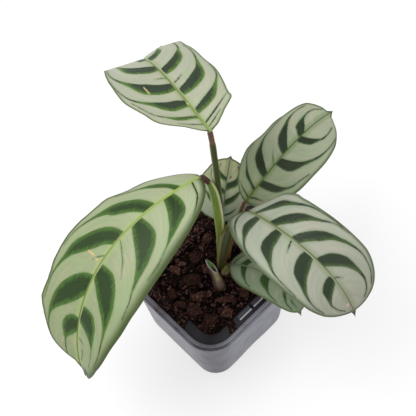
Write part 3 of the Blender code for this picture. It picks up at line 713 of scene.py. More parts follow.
def make_blade(number, name, leaf, finish):
    """A thin two-sided blade with a grooved midrib, faint side veins, a rippled margin and a keel below."""
    even = np.linspace(0, 1, int(leaf.length / CELL))
    s = (even + (1 - np.cos(even * pi)) / 2) / 2
    share = np.linspace(0, 1, int(max(leaf.left.width, leaf.right.width) / CELL)) ** CROWDING
    x = np.repeat(s[:, None] * leaf.length / MM, len(share), 1)
    shift = between(MIDRIB_SHIFT.get(name, NO_SHIFT), s)[:, None]
    sides = []
    for side, half, sign in (("right", leaf.right, -1), ("left", leaf.left, 1)):
        width = half_width(name, side, half, leaf.length, s)
        y = width[:, None] / MM * share
        places = np.stack([x.ravel(), y.ravel()], -1)
        margin = nearest(places, np.stack([s * leaf.length, width], -1) / MM)[0].reshape(x.shape)
        markings = half_markings(name, side, places)
        depth, from_base, from_tip, scar = (field.reshape(x.shape) for field in markings)
        sweep = VEIN_SWEEP * share**1.5 + VEIN_HOOK * share**2 / (1.05 - share)
        sides.append(
            {
                "point": half_surface(leaf, half, width, sign, s, share),
                "across": y * sign,
                "flow": x - sweep * half.width / WIDEST_HALF,
                "margin": margin,
                "band": 1 - margin / between(MARGIN_BAND[name, side], s)[:, None],
                "depth": np.minimum(depth, 2 * (y - sign * shift)),
                "from_base": from_base,
                "from_tip": from_tip,
                "share": np.repeat(share[None], len(s), 0),
                "scar": scar,
            }
        )
    right, left = sides
    whole = {key: np.concatenate([right[key][:, :0:-1], left[key]], 1) for key in right}
    length_share = np.repeat(s[:, None], whole["across"].shape[1], 1)
    rib = np.abs(whole["across"] - shift)
    slope = np.sin(pi * np.clip(whole["share"], 0, 1)) ** 0.7
    relief = -VEIN_GROOVE * np.exp(-((rib / GROOVE_HALF_WIDTH) ** 2)) * (1 - GROOVE_FADE * length_share)
    relief += RIDGE_HEIGHT * slope * np.sin(2 * pi * whole["flow"] / RIDGE_SPACING)
    phase = RIPPLE_BY_LEAF * number + RIPPLE_BY_HALF * np.sign(whole["across"])
    ripple = np.sin(2 * pi * x[:, :1] / RIPPLE_LENGTH + phase)
    relief += RIPPLE_HEIGHT * whole["share"] ** 3 * ripple * np.sin(pi * length_share)
    normal = np.cross(np.gradient(whole["point"], axis=0), np.gradient(whole["point"], axis=1))
    normal /= np.maximum(np.linalg.norm(normal, axis=2, keepdims=True), 1e-12)
    upper = whole["point"] + normal * relief[..., None]
    thickness = LAMINA_AT_MARGIN + (LAMINA - LAMINA_AT_MARGIN) * np.clip(whole["margin"] / MARGIN_TAPER, 0, 1)
    thickness += KEEL_DEPTH * (1 - KEEL_FADE * length_share) * np.exp(-((rib * MM / KEEL_HALF_WIDTH) ** 2))
    lower = upper - normal * thickness[..., None]
    lines, columns = rib.shape
    under = lines * columns
    faces = [grid_faces(lines, columns, flip=True), grid_faces(lines, columns, under)]
    a = np.arange(lines - 1) * columns
    for start, step in ((a, 1), (a + columns - 1, -1)):
        edge = [start, start + under, start + under + columns, start + columns]
        faces.append(np.stack(edge, -1)[:, ::step])
    b = np.arange(columns - 1)
    for start, step in ((b, 1), (b + under - columns, -1)):
        edge = [start, start + 1, start + under + 1, start + under]
        faces.append(np.stack(edge, -1)[:, ::step])
    fields = {
        "marks": (whole["depth"], whole["from_base"], whole["from_tip"]),
        "place": (whole["flow"], whole["across"], length_share),
        "edges": (rib, whole["band"], whole["margin"]),
    }
    attributes = {key: np.tile(np.stack(three, -1).reshape(-1, 3), (2, 1)) for key, three in fields.items()}
    attributes["under"] = np.repeat((0.0, 1.0), under)
    attributes["scar"] = np.tile(whole["scar"].ravel(), 2)
    vertices = np.vstack([upper.reshape(-1, 3), lower.reshape(-1, 3)])
    faces = np.vstack(faces).tolist()
    mesh_piece(f"lamina_{name}", vertices, faces, finish, (f"blade_{name}",), attributes, 55)


# Colours of each blade: ground at the base, middle and tip, then the dark patches' middle, their bright rim
# and how far in it reaches from the patch's base side and tip side in millimetres, the band inside the
# margin, the thin line on the margin itself, the midrib at the base and tip, the blade's very tip, half the
# midrib's width at the base and tip in millimetres, and its scratches or bruises.
Palette = namedtuple("Palette", "ground patch rim rim_reach band line midrib tip rib_width scar")
PALETTES = {
    # The front blade's ground darkens towards its tip as painted shade, where the blade turns steeply down.
    "front": Palette(
        ("#a2ad8b", "#8d9873", "#7e8a63"), "#263919", "#45652a", (4.2, 4.0), "#394b22", "#4e4a30",
        ("#98ab5f", "#2a3618"), "#6a4a34", (1.15, 0.35), "#d2b070",
    ),
    "tall": Palette(
        ("#a0a48b", "#9da18d", "#9ea291"), "#2b3628", "#4d6c2a", (3.4, 0.5), "#4c6434", "#4a5632",
        ("#7e8f54", "#3f4e2c"), "#5a4030", (1.25, 0.1), "#c9c07c",
    ),
    "side": Palette(
        ("#999f8e", "#989d8c", "#949486"), "#273223", "#42552f", (0.9, 2.6), "#4a6040", "#6e5a4c",
        ("#6c784a", "#2c3f22"), "#33462a", (0.8, 0.2), "#c49aa4",
    ),
    "far": Palette(
        ("#7e8e68", "#8c967b", "#969c84"), "#1f2b17", "#38502a", (1.4, 0.6), "#3f5a30", "#5c523e",
        ("#4d6628", "#34461f"), "#4c6a30", (0.75, 0.25), "#9c8478",
    ),
    # The back blade's ground is painted paler, as painted light against the shade that the leaves above cast
    # on it.
    "back": Palette(
        ("#90a08a", "#a7b190", "#b3b788"), "#293823", "#48642c", (2.4, 0.6), "#4a6234", "#4e4e30",
        ("#56644a", "#4a5a3e"), "#c07850", (0.5, 0.3), "#5a3626",
    ),
    "low": Palette(
        ("#87977c", "#76856a", "#73816b"), "#2b411e", "#3a5a2c", (1.8, 0.6), "#3c602e", "#74604a",
        ("#68785c", "#607056"), "#a87048", (0.6, 0.3), "#a87048",
    ),
}

# Grain of a leaf's skin: how it is stretched; where it starts, as a step from leaf to leaf along the blade, a
# fixed start across it and a step from leaf to leaf across it; then its scale and its detail.
LEAF_GRAIN = {
    "fine": ((1.0, 0.09, 0.0), (11, 0, 0), 1.25, 1.0),  # streaks along the side veins, 0.8 by 9 mm
    "broad": ((1.0, 0.3, 0.0), (5, 3, 0), 0.16, 2.0),  # lighter and darker zones
    "flush": ((1.0, 0.6, 0.0), (9, 4, 0), 0.12, 3.0),  # pinkish and greener zones about 10 mm wide
    "comb": ((0.22, 1.0, 0.0), (0, 0, 7), 0.9, 1.0),  # cross veins about 1 mm apart, which fray the markings
}


def leaf_material(number, name, look):
    """Living leaf lamina: a satin waxy skin, fine streaks along the side veins, and a wine-red underside."""
    made, tree, shader = new_material(f"ctenanthe lamina {name}", 0.44, 0.16)
    labels = ("place", "marks", "edges")
    fields = [add(tree, "Attribute", attribute_name=label).outputs["Vector"] for label in labels]
    place = fields[0]
    parts, marks, edges = (add(tree, "SeparateXYZ", (field,)).outputs for field in fields)
    grain = {}
    for label, (stretch, (step, across, step_across), scale, detail) in LEAF_GRAIN.items():
        start = (step * number, across + step_across * number, 0.0)
        moved = add(tree, "VectorMath", (place, stretch, start), operation="MULTIPLY_ADD")
        grain[label] = add(tree, "TexNoise", (moved, scale, detail))
    fine, comb = grain["fine"], grain["comb"]

    ground = add(tree, "ValToRGB", (parts["Z"],), stops=tuple(zip((0.0, 0.5, 1.0), look.ground)))
    streaked = add(tree, "MapRange", (fine, 0.3, 0.75, 1.02, 0.95))
    zoned = add(tree, "MapRange", (grain["broad"], 0.3, 0.7, 0.94, 1.05))
    shade = add(tree, "Math", (streaked, zoned), operation="MULTIPLY")
    ground = add(tree, "VectorMath", (ground, shade), operation="SCALE")
    for low, high, colour in ((0.52, 0.72, "#b3a195"), (0.48, 0.28, "#86a07a")):
        tinted = add(tree, "MapRange", (grain["flush"], low, high, 0.0, 0.3))
        ground = add(tree, "Mix", (tinted, ground, colour), **COLOURS)
    # A greener halo about 1 mm wide outside each dark patch, a tint beside the midrib, and a darker margin.
    halo = add(tree, "MapRange", (marks["X"], -1.5, 0.2, 0.0, 0.3), **SMOOTH)
    by_rib = add(tree, "MapRange", (edges["X"], 1.0, 4.5, 0.4, 0.0), **SMOOTH)
    frayed = add(tree, "Math", (fine, 0.3, edges["Y"]), operation="MULTIPLY_ADD")
    band = add(tree, "MapRange", (frayed, 0.1, 1.05, 0.0, 1.0), **SMOOTH)
    for share, colour in ((halo, look.rim), (by_rib, look.midrib[0]), (band, look.band)):
        ground = add(tree, "Mix", (share, ground, colour), **COLOURS)

    # Dark patches: the rim is bright green on the base side and fades inwards; the tip side turns at once.
    reaches = zip((marks["Y"], marks["Z"]), look.rim_reach)
    inwards = [add(tree, "Math", (edge, 1 / reach), operation="MULTIPLY") for edge, reach in reaches]
    depth = add(tree, "Math", inwards, operation="MINIMUM")
    depth = add(tree, "Math", (comb, 1.3, depth), operation="MULTIPLY_ADD")
    rimmed = add(tree, "MapRange", (depth, 0.6, 1.65), **SMOOTH)
    patch = add(tree, "Mix", (rimmed, look.rim, look.patch), **COLOURS)
    veined = add(tree, "MapRange", (fine, 0.25, 0.75, 0.86, 1.16))
    patch = add(tree, "VectorMath", (patch, veined), operation="SCALE")
    edge = add(tree, "Math", (comb, 0.6, marks["X"]), operation="MULTIPLY_ADD")
    inside = add(tree, "MapRange", (edge, 0.0, 0.6), **SMOOTH)

    # The midrib is a pale band 1 to 2 mm wide at the base and thin at the tip.
    spread = add(tree, "MapRange", (parts["Z"], 0.0, 1.0, *look.rib_width))
    over = add(tree, "Math", (edges["X"], spread), operation="SUBTRACT")
    on_rib = add(tree, "MapRange", (over, -0.35, 0.35, 1.0, 0.0), **SMOOTH)
    rib = add(tree, "ValToRGB", (parts["Z"],), stops=((0.0, look.midrib[0]), (1.0, look.midrib[1])))
    on_line = add(tree, "MapRange", (edges["Z"], 0.15, 0.5, 0.8, 0.0))
    at_tip = add(tree, "MapRange", (parts["Z"], 0.975, 0.988, 0.0, 0.9))
    scar = add(tree, "Attribute", attribute_name="scar").outputs["Fac"]
    layers = [(inside, patch), (on_rib, rib), (on_line, look.line), (at_tip, look.tip), (scar, look.scar)]
    if name == "back":
        # The old leaf is yellowing towards its tip, and dotted brown about every 1.5 mm.
        dots = add(tree, "TexVoronoi", (place, 0.7))
        dots = add(tree, "Math", (parts["Z"], 0.35, dots), operation="MULTIPLY_ADD")
        dotted = add(tree, "MapRange", (dots, 0.34, 0.44, 0.5, 0.0))
        layers.append((add(tree, "Math", (dotted, parts["Z"]), operation="MULTIPLY"), "#4a4a2c"))
    top = ground
    for share, colour in layers:
        top = add(tree, "Mix", (share, top, colour), **COLOURS)

    # Underside: dull wine red that shows the patches faintly darker, with a paler green keel.
    below = add(tree, "ValToRGB", (grain["broad"],), stops=((0.3, "#5f3540"), (0.7, "#7a4a52")))
    faint = add(tree, "Math", (inside, 0.45), operation="MULTIPLY")
    for share, colour in ((faint, "#3f2430"), (on_rib, "#8a8a5c")):
        below = add(tree, "Mix", (share, below, colour), **COLOURS)
    below = add(tree, "VectorMath", (below, veined), operation="SCALE")
    under = add(tree, "Attribute", attribute_name="under").outputs["Fac"]
    colour = add(tree, "Mix", (under, top, below), **COLOURS)
    sheen = add(tree, "MapRange", (fine, 0.2, 0.8, 0.40, 0.52))
    bump = add(tree, "Bump", {"Strength": 0.5, "Distance": 0.12 * MM, "Height": fine})
    feed(tree, shader, {"Base Color": colour, "Roughness": sheen, "Normal": bump})
    return made


# Stalks and the young shoot

GAP = 0.0004
SOIL_LEVEL = 0.0668
SOIL_LUMP = 0.0007
SOIL_HEAP = 0.0012
HEAP_CENTRE = (-0.004, 0.012)
HEAP_RADIUS = 0.018
SOIL_EDGE_DROP = 0.0012

STALK_RINGS = 120
STALK_SIDES = 28
STALK_END_RINGS = 6  # rings over which its end narrows inside the keel
JOIN_REACH = 0.0016  # how far along the midrib, and how far below it, a stalk ends
JOIN_DEPTH = 0.0011
KNEE_PLACE = 0.955
KNEE_LENGTH = 0.04
TOP_CLEARANCE = 0.0006
SHEATH_RIM = 0.28  # how far a sheath's rim and the sheath itself stand out, in millimetres
SHEATH_THICKNESS = 0.18
SHEATH_RIM_WIDTH = 0.8
FRONT_TURN = radians(52.7)  # the way that the pot's two front walls turn from the X axis

# Each stalk: radius in millimetres at points along it, how much its knee swells, where its sheath's rim
# crosses it, and its colours along its middle, then on its left and right flanks seen from the front corner.
Stalk = namedtuple("Stalk", "radius knee sheath stops left right")
STALKS = {
    "tall": Stalk(
        ((0, 2.1), (0.5, 2.1), (0.8, 2.1), (0.85, 1.85), (1, 1.8)), 0.0, (0.35, 0.05),
        (
            (0.0, "#3d4420"), (0.5, "#38461a"), (0.83, "#3a421a"), (0.86, "#6a4a3c"), (0.97, "#5a4034"),
            (1.0, "#5e5040"),
        ),
        "#6e6c50", "#46582a",
    ),
    "front": Stalk(
        ((0, 2.4), (0.3, 2.9), (0.45, 3.3), (0.69, 3.1), (0.78, 2.5), (0.88, 2.0), (0.94, 2.5), (1, 2.6)),
        0.2, (0.30, 0.10),
        (
            (0.0, "#55602a"), (0.3, "#66762c"), (0.55, "#6b8630"), (0.83, "#5f7e34"), (0.865, "#4c2f2a"),
            (1.0, "#4a302c"),
        ),
        "#8f9c58", "#d0cfa0",
    ),
    "back": Stalk(
        ((0, 1.7), (1, 1.3)), 0.1, (0.5, 0.1),
        ((0.0, "#5a5034"), (0.5, "#4c5a2c"), (0.9, "#4c5a2c"), (0.94, "#4a3a2c"), (1.0, "#4a3a2c")),
        "#5a6236", "#4c5028",
    ),
    "far": Stalk(
        ((0, 2.9), (0.11, 3.2), (0.27, 3.7), (0.45, 4.2), (0.6, 3.9), (0.74, 2.6), (0.84, 1.6), (1, 1.4)),
        0.2, (0.68, 0.18),
        (
            (0.0, "#3c3a1e"), (0.3, "#3a3a1c"), (0.55, "#364220"), (0.78, "#3a4a26"), (0.84, "#4e3c2c"),
            (1.0, "#5a4430"),
        ),
        "#787a44", "#7e5030",
    ),
    # The side stalk's knee is near black: its own dark maroon with painted shade, where it stands in shadow
    # behind its blade.
    "side": Stalk(
        ((0, 2.2), (0.5, 2.1), (0.8, 1.9), (0.9, 3.6), (1, 4.2)), 0.4, (0.45, 0.1),
        ((0.0, "#6a5236"), (0.5, "#56602c"), (0.76, "#54622e"), (0.82, "#1c100e"), (1.0, "#20120f")),
        "#7a7444", "#5c5a2c",
    ),
    "low": Stalk(
        ((0, 2.4), (0.5, 2.6), (0.8, 2.1), (1, 1.6)), 0.1, (0.5, 0.12),
        ((0.0, "#5a4c2a"), (0.5, "#565428"), (0.86, "#566230"), (0.92, "#4e3f2c"), (1.0, "#4e3f2c")),
        "#7c7a48", "#5c4a2c",
    ),
}

# How far a stalk bows sideways, where along it, and over how much of it.
NO_BOW = ((0.0, 0.0, 0.0), 0.5, 1.0)
BOWS = {"far": ((0.0022, 0.0028, -0.0010), 0.78, 0.14), "side": ((0.0022, 0.0030, 0.0), 0.93, 0.10)}


def mound(x, y, centre, height, radius):
    """A round mound's height at each place."""
    return height * np.exp(-(((x - centre[0]) ** 2 + (y - centre[1]) ** 2) / radius**2))


def soil_height(x, y):
    """The mix heaped a little round the stalks, with low lumps."""
    lumps = np.sin(x * 420 + 1.3) * np.cos(y * 380) + 0.6 * np.sin(x * 150 + y * 210)
    return SOIL_LEVEL + mound(x, y, HEAP_CENTRE, SOIL_HEAP, HEAP_RADIUS) + SOIL_LUMP * lumps


def stalk_path(name, leaf, t):
    """From the mix up into the keel of the blade's base."""
    points, _, _, up = midrib_frame(leaf, np.array([0.0, JOIN_REACH / leaf.length]))
    foot = np.array([*leaf.root, soil_height(*leaf.root) - 4 * GAP])
    drop = np.array(leaf.drop)
    arrival = drop / np.linalg.norm(drop)
    clearance = TOP_CLEARANCE + (BLADE_THICKNESS + MIDRIB_DEPTH) * abs(arrival @ up[0])
    top = np.array(leaf.base) - arrival * clearance
    a, b, c, d = foot, foot + np.array(leaf.rise), top - drop, top
    t = t[:, None]
    path = a * (1 - t) ** 3 + 3 * b * t * (1 - t) ** 2 + 3 * c * t**2 * (1 - t) + d * t**3
    bow, bend, spread = BOWS.get(name, NO_BOW)
    path += np.array(bow) * np.exp(-(((t - bend) / spread) ** 2)) * np.minimum(1, (1 - t) * 12)
    # The last fifth runs on into the keel.
    join = points[1] - up[0] * JOIN_DEPTH
    return path + (join - path[-1]) * np.clip((t - 0.8) / 0.2, 0, 1) ** 1.5


def side_directions(path):
    """For each point of a path, two ways across it, carried on without twist."""
    tangents = np.gradient(path, axis=0)
    tangents /= np.linalg.norm(tangents, axis=1, keepdims=True)
    side = Vector((1, 0, 0))
    across = []
    for along in map(Vector, tangents):
        side = (side - along * side.dot(along)).normalized()
        across.append((side, along.cross(side)))
    return np.array(across).transpose(1, 0, 2)


def make_stalk(name, leaf, finish):
    """A petiole: wide and ridged in its sheath below, slender above, with a swollen knee at the blade."""
    look = STALKS[name]
    t = np.linspace(0, 1, STALK_RINGS)
    path = stalk_path(name, leaf, t)
    first, second = side_directions(path)
    radius = np.interp(t, *through(look.radius, 12).T)
    radius += look.knee * np.exp(-(((t - KNEE_PLACE) / KNEE_LENGTH) ** 2))
    radius[-STALK_END_RINGS:] *= np.sqrt(np.linspace(1, 0.15, STALK_END_RINGS))
    angle = np.arange(STALK_SIDES) * 2 * pi / STALK_SIDES
    flank = np.cos(angle - FRONT_TURN)
    t, radius = t[:, None], radius[:, None]
    from_rim = (t - look.sheath[0] - look.sheath[1] * flank) * np.linalg.norm(path[-1] - path[0]) / MM
    rim = np.exp(-((from_rim / SHEATH_RIM_WIDTH) ** 2))
    folds = 0.05 * np.sin(9 * angle) + 0.03 * np.sin(17 * angle + 1)
    wrinkled = 0.05 * np.sin(from_rim * 3.4) * (t > KNEE_PLACE - KNEE_LENGTH)
    ring = radius + folds * (1 - 0.6 * t) + SHEATH_RIM * rim + SHEATH_THICKNESS * (from_rim < 0) + wrinkled
    turns = np.stack([np.cos(angle), np.sin(angle)], -1)
    out = turns[None, :, :1] * first[:, None] + turns[None, :, 1:] * second[:, None]
    rings = path[:, None] + ring[..., None] * MM * out
    along = np.linalg.norm(path - path[0], axis=1) / MM
    place = np.column_stack([np.tile(turns, (STALK_RINGS, 1)), along.repeat(STALK_SIDES)])
    zones = np.stack([np.repeat(t, STALK_SIDES), np.tile(flank, STALK_RINGS), rim.ravel()], -1)
    faces = tube_faces(STALK_RINGS, STALK_SIDES)
    attributes = {"place": place, "zones": zones}
    piece, replaced = f"petiole_{name}", (f"stalk_{name}",)
    mesh_piece(piece, rings.reshape(-1, 3), faces, finish, replaced, attributes, 60, outwards=True)


def stalk_material(number, name, look):
    """Petiole skin: smooth and waxy, finely lined along its length, speckled brown, darker at the knee."""
    made, tree, shader = new_material(f"ctenanthe petiole {name}", 0.38, 0.2)
    place, zones = [add(tree, "Attribute", attribute_name=k).outputs["Vector"] for k in ("place", "zones")]
    zones = add(tree, "SeparateXYZ", (zones,)).outputs
    start = (number, 0.0, 0.0)
    drawn_out = add(tree, "VectorMath", (place, (2.6, 2.6, 0.05), start), operation="MULTIPLY_ADD")
    lines = add(tree, "TexNoise", (drawn_out, 1.6, 2.0))
    specks = add(tree, "TexNoise", (add(tree, "TexCoord").outputs["Object"], 1400.0, 2.0))
    skin = add(tree, "ValToRGB", (zones["X"],), stops=look.stops)
    # The flanks are paler up to the knee.
    below_knee = add(tree, "MapRange", (zones["X"], 0.8, 0.88, 0.85, 0.0))
    for colour, near, far in ((look.left, -0.5, -0.9), (look.right, 0.45, 0.8)):
        flank = add(tree, "MapRange", (zones["Y"], near, far), **SMOOTH)
        flank = add(tree, "Math", (flank, below_knee), operation="MULTIPLY")
        skin = add(tree, "Mix", (flank, skin, colour), **COLOURS)
    shade = add(tree, "MapRange", (lines, 0.3, 0.7, 0.78, 1.2))
    skin = add(tree, "VectorMath", (skin, shade), operation="SCALE")
    dry_rim = add(tree, "Math", (zones["Z"], 0.55), operation="MULTIPLY")
    speckled = add(tree, "MapRange", (specks, 0.56, 0.66, 0.0, 0.4))
    for share, colour in ((dry_rim, "#8c7468"), (speckled, "#3c2a22")):
        skin = add(tree, "Mix", (share, skin, colour), **COLOURS)
    bump = add(tree, "Bump", {"Strength": 0.5, "Distance": 0.15 * MM, "Height": lines})
    feed(tree, shader, {"Base Color": skin, "Normal": bump})
    return made


SHOOT_FOOT = (0.0087, 0.0009)
SHOOT_TOP = (-0.0027, 0.0044, 0.0840)
SHOOT_RADIUS = 0.0036
SHOOT_WELL = 0.010
SHOOT_SLANT = 0.0062
SHOOT_HIGH_SIDE = Vector((-0.93, -0.37, 0.0))
SHOOT_SIDES = 48
# Rings of the sheath from below its foot to its mouth and down inside: how far along its length, how wide
# against its radius, and how much of the mouth's slant the ring takes.
SHOOT_OUTSIDE = (
    (0.0, 1.00, 0.0), (0.06, 1.12, 0.0), (0.12, 1.18, 0.0), (0.20, 1.20, 0.02), (0.28, 1.15, 0.06),
    (0.36, 1.04, 0.14), (0.44, 0.96, 0.25), (0.55, 0.90, 0.43), (0.68, 0.86, 0.63), (0.80, 0.83, 0.80),
    (0.92, 0.79, 0.93), (1.00, 0.77, 1.0),
)
SHOOT_INSIDE = ((1.01, 0.66, 1.0), (0.99, 0.46, 1.0), (0.80, 0.42, 0.80), (0.50, 0.42, 0.45))


def make_shoot(finish):
    """A short rolled sheath, open at its slanted mouth."""
    foot = Vector((*SHOOT_FOOT, float(soil_height(*SHOOT_FOOT)) + 3 * GAP))
    length = (Vector(SHOOT_TOP) - foot).length
    axis = (Vector(SHOOT_TOP) - foot).normalized()
    level = Vector((0, 0, 1)).cross(axis).normalized()
    uphill = axis.cross(level)
    facing = Vector((cos(FRONT_TURN), sin(FRONT_TURN), 0.0))
    sunk = (-1.2 * MM / length, 0.80, 0.0)
    bottom = (1 - SHOOT_WELL / length, 0.4, 0.45)
    stations = (sunk, *SHOOT_OUTSIDE, *SHOOT_INSIDE, bottom)
    vertices, place, zones = [], [], []
    for number, (along, wide, slant) in enumerate(stations):
        for k in range(SHOOT_SIDES):
            angle = 2 * pi * k / SHOOT_SIDES
            out = level * cos(angle) + uphill * sin(angle)
            wrinkle = 1 + 0.02 * sin(7 * angle) + 0.012 * sin(13 * angle + 1)
            rise = length * along + SHOOT_SLANT * slant * out.dot(SHOOT_HIGH_SIDE)
            vertices.append(foot + axis * rise + out * (SHOOT_RADIUS * wide) * wrinkle)
            place.append((cos(angle), sin(angle), length * along / MM))
            zones.append((along, out.dot(facing), float(number > len(SHOOT_OUTSIDE) + 1)))
    faces = tube_faces(len(stations), SHOOT_SIDES)
    attributes = {"place": place, "zones": zones}
    name, slot, replaced = "rolled_sheath", "young_sheath", ("young_shoot",)
    mesh_piece(name, vertices, faces, finish, replaced, attributes, 50, outwards=True)


def sheath_material():
    """Young leaf sheath: papery and satin, brown-purple streaks over green, with a pale dry mouth."""
    made, tree, shader = new_material("ctenanthe young sheath", 0.45, 0.5)
    place, zones = [add(tree, "Attribute", attribute_name=k).outputs["Vector"] for k in ("place", "zones")]
    zones = add(tree, "SeparateXYZ", (zones,)).outputs
    drawn_out = add(tree, "VectorMath", (place, (2.0, 2.0, 0.06)), operation="MULTIPLY")
    lines = add(tree, "TexNoise", (drawn_out, 2.0, 3.0))
    # Dark purple-brown on the left, greenish yellow on the right, and brown on the bulb below.
    turned = add(tree, "Math", (lines, 0.8, zones["Y"]), operation="MULTIPLY_ADD")
    skin = add(
        tree,
        "ValToRGB",
        (add(tree, "MapRange", (turned, -0.6, 1.4)),),
        stops=((0.0, "#3a2424"), (0.3, "#4c3330"), (0.48, "#6c6636"), (0.7, "#7c7e42"), (1.0, "#6a6040")),
    )
    bulb = add(tree, "MapRange", (zones["X"], 0.34, 0.56, 0.95, 0.0))
    skin = add(tree, "Mix", (bulb, skin, "#453024"), **COLOURS)
    shade = add(tree, "MapRange", (lines, 0.3, 0.7, 0.8, 1.2))
    skin = add(tree, "VectorMath", (skin, shade), operation="SCALE")
    lip = add(tree, "MapRange", (zones["X"], 0.90, 0.99, 0.0, 0.85))
    for share, colour in ((lip, "#a8949c"), (zones["Z"], "#4c7426")):
        skin = add(tree, "Mix", (share, skin, colour), **COLOURS)
    bump = add(tree, "Bump", {"Strength": 0.6, "Distance": 0.2 * MM, "Height": lines})
    feed(tree, shader, {"Base Color": skin, "Normal": bump})
    return made


# Pot

RIM_SIDE = 0.090
RIM_CORNER = 0.0235
FLANGE_WIDTH = 0.0047
FLANGE_BLUR = 0.0004  # how far its inner edge blurs
# Heights between which a colour of the pot's top comes in.
FLANGE_TOP = (0.0711, 0.0714)
BAR_TOP = (0.0687, 0.069)
DUST_HEIGHT = (0.064, 0.069)
INSIDE_ABOVE = 0.06  # the pot's inside is plain below this height
# Seen from above, the flange has a painted highlight on its outer edge and on its inner edge, painted shade
# in its grooves 1 to 2 mm apart, and the darker ledge follows: shares of the way in from the rim's outer edge
# to INSET_REACH.
INSET_REACH = 0.0135
FLANGE_HIGHLIGHTS_AND_SHADE = (
    (0.0, "#6a6b76"), (0.02, "#55565e"), (0.045, "#84858f"), (0.09, "#7e7f88"), (0.10, "#54555c"),
    (0.13, "#66676f"), (0.17, "#80818a"), (0.23, "#868790"), (0.25, "#5c5d66"), (0.27, "#787982"),
    (0.33, "#74757e"), (0.342, "#94959e"), (0.352, "#94959e"), (0.362, "#242428"), (0.6, "#2e2e33"),
    (1.0, "#26262a"),
)


def pot_material():
    """Injection-moulded polypropylene: grey, satin, with a dark ledge, a little dust and painted light and
    shade.
    """
    made, tree, shader = new_material("grey polypropylene", 0.3, 0.25)
    place = add(tree, "TexCoord").outputs["Object"]
    cloud = add(tree, "TexNoise", (place, 90.0, 4.0))
    grain = add(tree, "TexNoise", (place, 1600.0, 2.0))
    plastic = add(tree, "ValToRGB", (cloud,), stops=((0.3, "#525364"), (0.7, "#575869")))
    height = add(tree, "SeparateXYZ", (place,)).outputs["Z"]
    # The wall's colour is a little darker towards its foot.
    darker_below = add(tree, "MapRange", (height, 0.0, 0.065, 0.8, 1.0))
    plastic = add(tree, "VectorMath", (plastic, darker_below), operation="SCALE")
    # How far each place lies from the square that joins the centres of the rim's round corners.
    flat = add(tree, "VectorMath", (place, (1.0, 1.0, 0.0)), operation="MULTIPLY")
    flat = add(tree, "VectorMath", (flat,), operation="ABSOLUTE")
    straight = (RIM_SIDE / 2 - RIM_CORNER,) * 2 + (0.0,)
    corner = add(tree, "VectorMath", (flat, straight), operation="SUBTRACT")
    corner = add(tree, "VectorMath", (corner, (0.0, 0.0, 0.0)), operation="MAXIMUM")
    reach = add(tree, "VectorMath", (corner,), operation="LENGTH")
    inset = add(tree, "MapRange", (reach, RIM_CORNER, RIM_CORNER - INSET_REACH))
    # Painted highlights on the flange's edges and painted shade in its grooves.
    lines = add(tree, "ValToRGB", (inset,), stops=FLANGE_HIGHLIGHTS_AND_SHADE)
    on_top = add(tree, "MapRange", (height, *FLANGE_TOP))
    flange_end = RIM_CORNER - FLANGE_WIDTH
    within_rim = add(tree, "MapRange", (reach, flange_end + FLANGE_BLUR, flange_end))
    above_floor = add(tree, "Math", (height, INSIDE_ABOVE), operation="GREATER_THAN")
    within_rim = add(tree, "Math", (within_rim, above_floor), operation="MULTIPLY")
    lined = add(tree, "Math", (on_top, within_rim), operation="MAXIMUM")
    # Painted highlight: the bars on the ledge are painted pale along their outer top edge, 1 mm wide.
    bar_highlight_mask = add(tree, "MapRange", (height, *BAR_TOP))
    on_bar = add(tree, "Math", (inset, 0.5), operation="GREATER_THAN")
    bar_highlight_mask = add(tree, "Math", (bar_highlight_mask, on_bar), operation="MULTIPLY")
    bar_highlight_stops = ((0.60, "#b4b5bc"), (0.67, "#b4b5bc"), (0.69, "#3c3c42"), (0.9, "#44444a"))
    bar_highlight = add(tree, "ValToRGB", (inset,), stops=bar_highlight_stops)
    for share, colour in ((lined, lines), (bar_highlight_mask, bar_highlight)):
        plastic = add(tree, "Mix", (share, plastic, colour), **COLOURS)
    # Painted shade: the corners of the wall are painted darker, and there the outer 1.5 mm of the flange is
    # painted in shade as well.
    turn = add(tree, "SeparateXYZ", (corner,)).outputs
    corner_shade = add(tree, "Math", (turn["X"], turn["Y"]), operation="MINIMUM")
    corner_shade = add(tree, "MapRange", (corner_shade, 0.0, 0.013, 1.0, 0.44))
    outermost = add(tree, "MapRange", (inset, 0.12, 0.16))
    unlined = add(tree, "Math", (1.0, on_top), operation="SUBTRACT")
    flange_edge_shade = add(tree, "Math", (outermost, unlined), operation="MAXIMUM")
    flange_edge_shade = add(tree, "MapRange", (flange_edge_shade, 0.0, 1.0, 0.5, 1.0))
    straighter = add(tree, "MapRange", (corner_shade, 0.5, 0.9))
    flange_edge_shade = add(tree, "Math", (flange_edge_shade, straighter), operation="MAXIMUM")
    for shade in (corner_shade, flange_edge_shade):
        plastic = add(tree, "VectorMath", (plastic, shade), operation="SCALE")
    # Dust of the mix lies on the ledge and rim, thicker in patches about 8 mm wide.
    high = add(tree, "MapRange", (height, *DUST_HEIGHT))
    patchy = add(tree, "MapRange", (cloud, 0.52, 0.68, 0.0, 0.55))
    dust = add(tree, "Math", (high, patchy), operation="MULTIPLY")
    # A few specks of the mix, about 1 mm wide, cling to the walls.
    specks = add(tree, "TexVoronoi", (place, 100.0)).outputs
    speck = add(tree, "MapRange", (specks["Distance"], 0.06, 0.1, 0.8, 0.0))
    few = add(tree, "Math", (specks["Color"], 0.62), operation="GREATER_THAN")
    speck = add(tree, "Math", (speck, few), operation="MULTIPLY")
    for share, colour in ((dust, "#3e302b"), (speck, "#33241e")):
        plastic = add(tree, "Mix", (share, plastic, colour), **COLOURS)
    rough = add(tree, "MapRange", (cloud, 0.3, 0.7, 0.26, 0.36))
    bump = add(tree, "Bump", {"Strength": 0.06, "Distance": 0.05 * MM, "Height": grain})
    feed(tree, shader, {"Base Color": plastic, "Roughness": rough, "Normal": bump})
    return made


# Potting mix

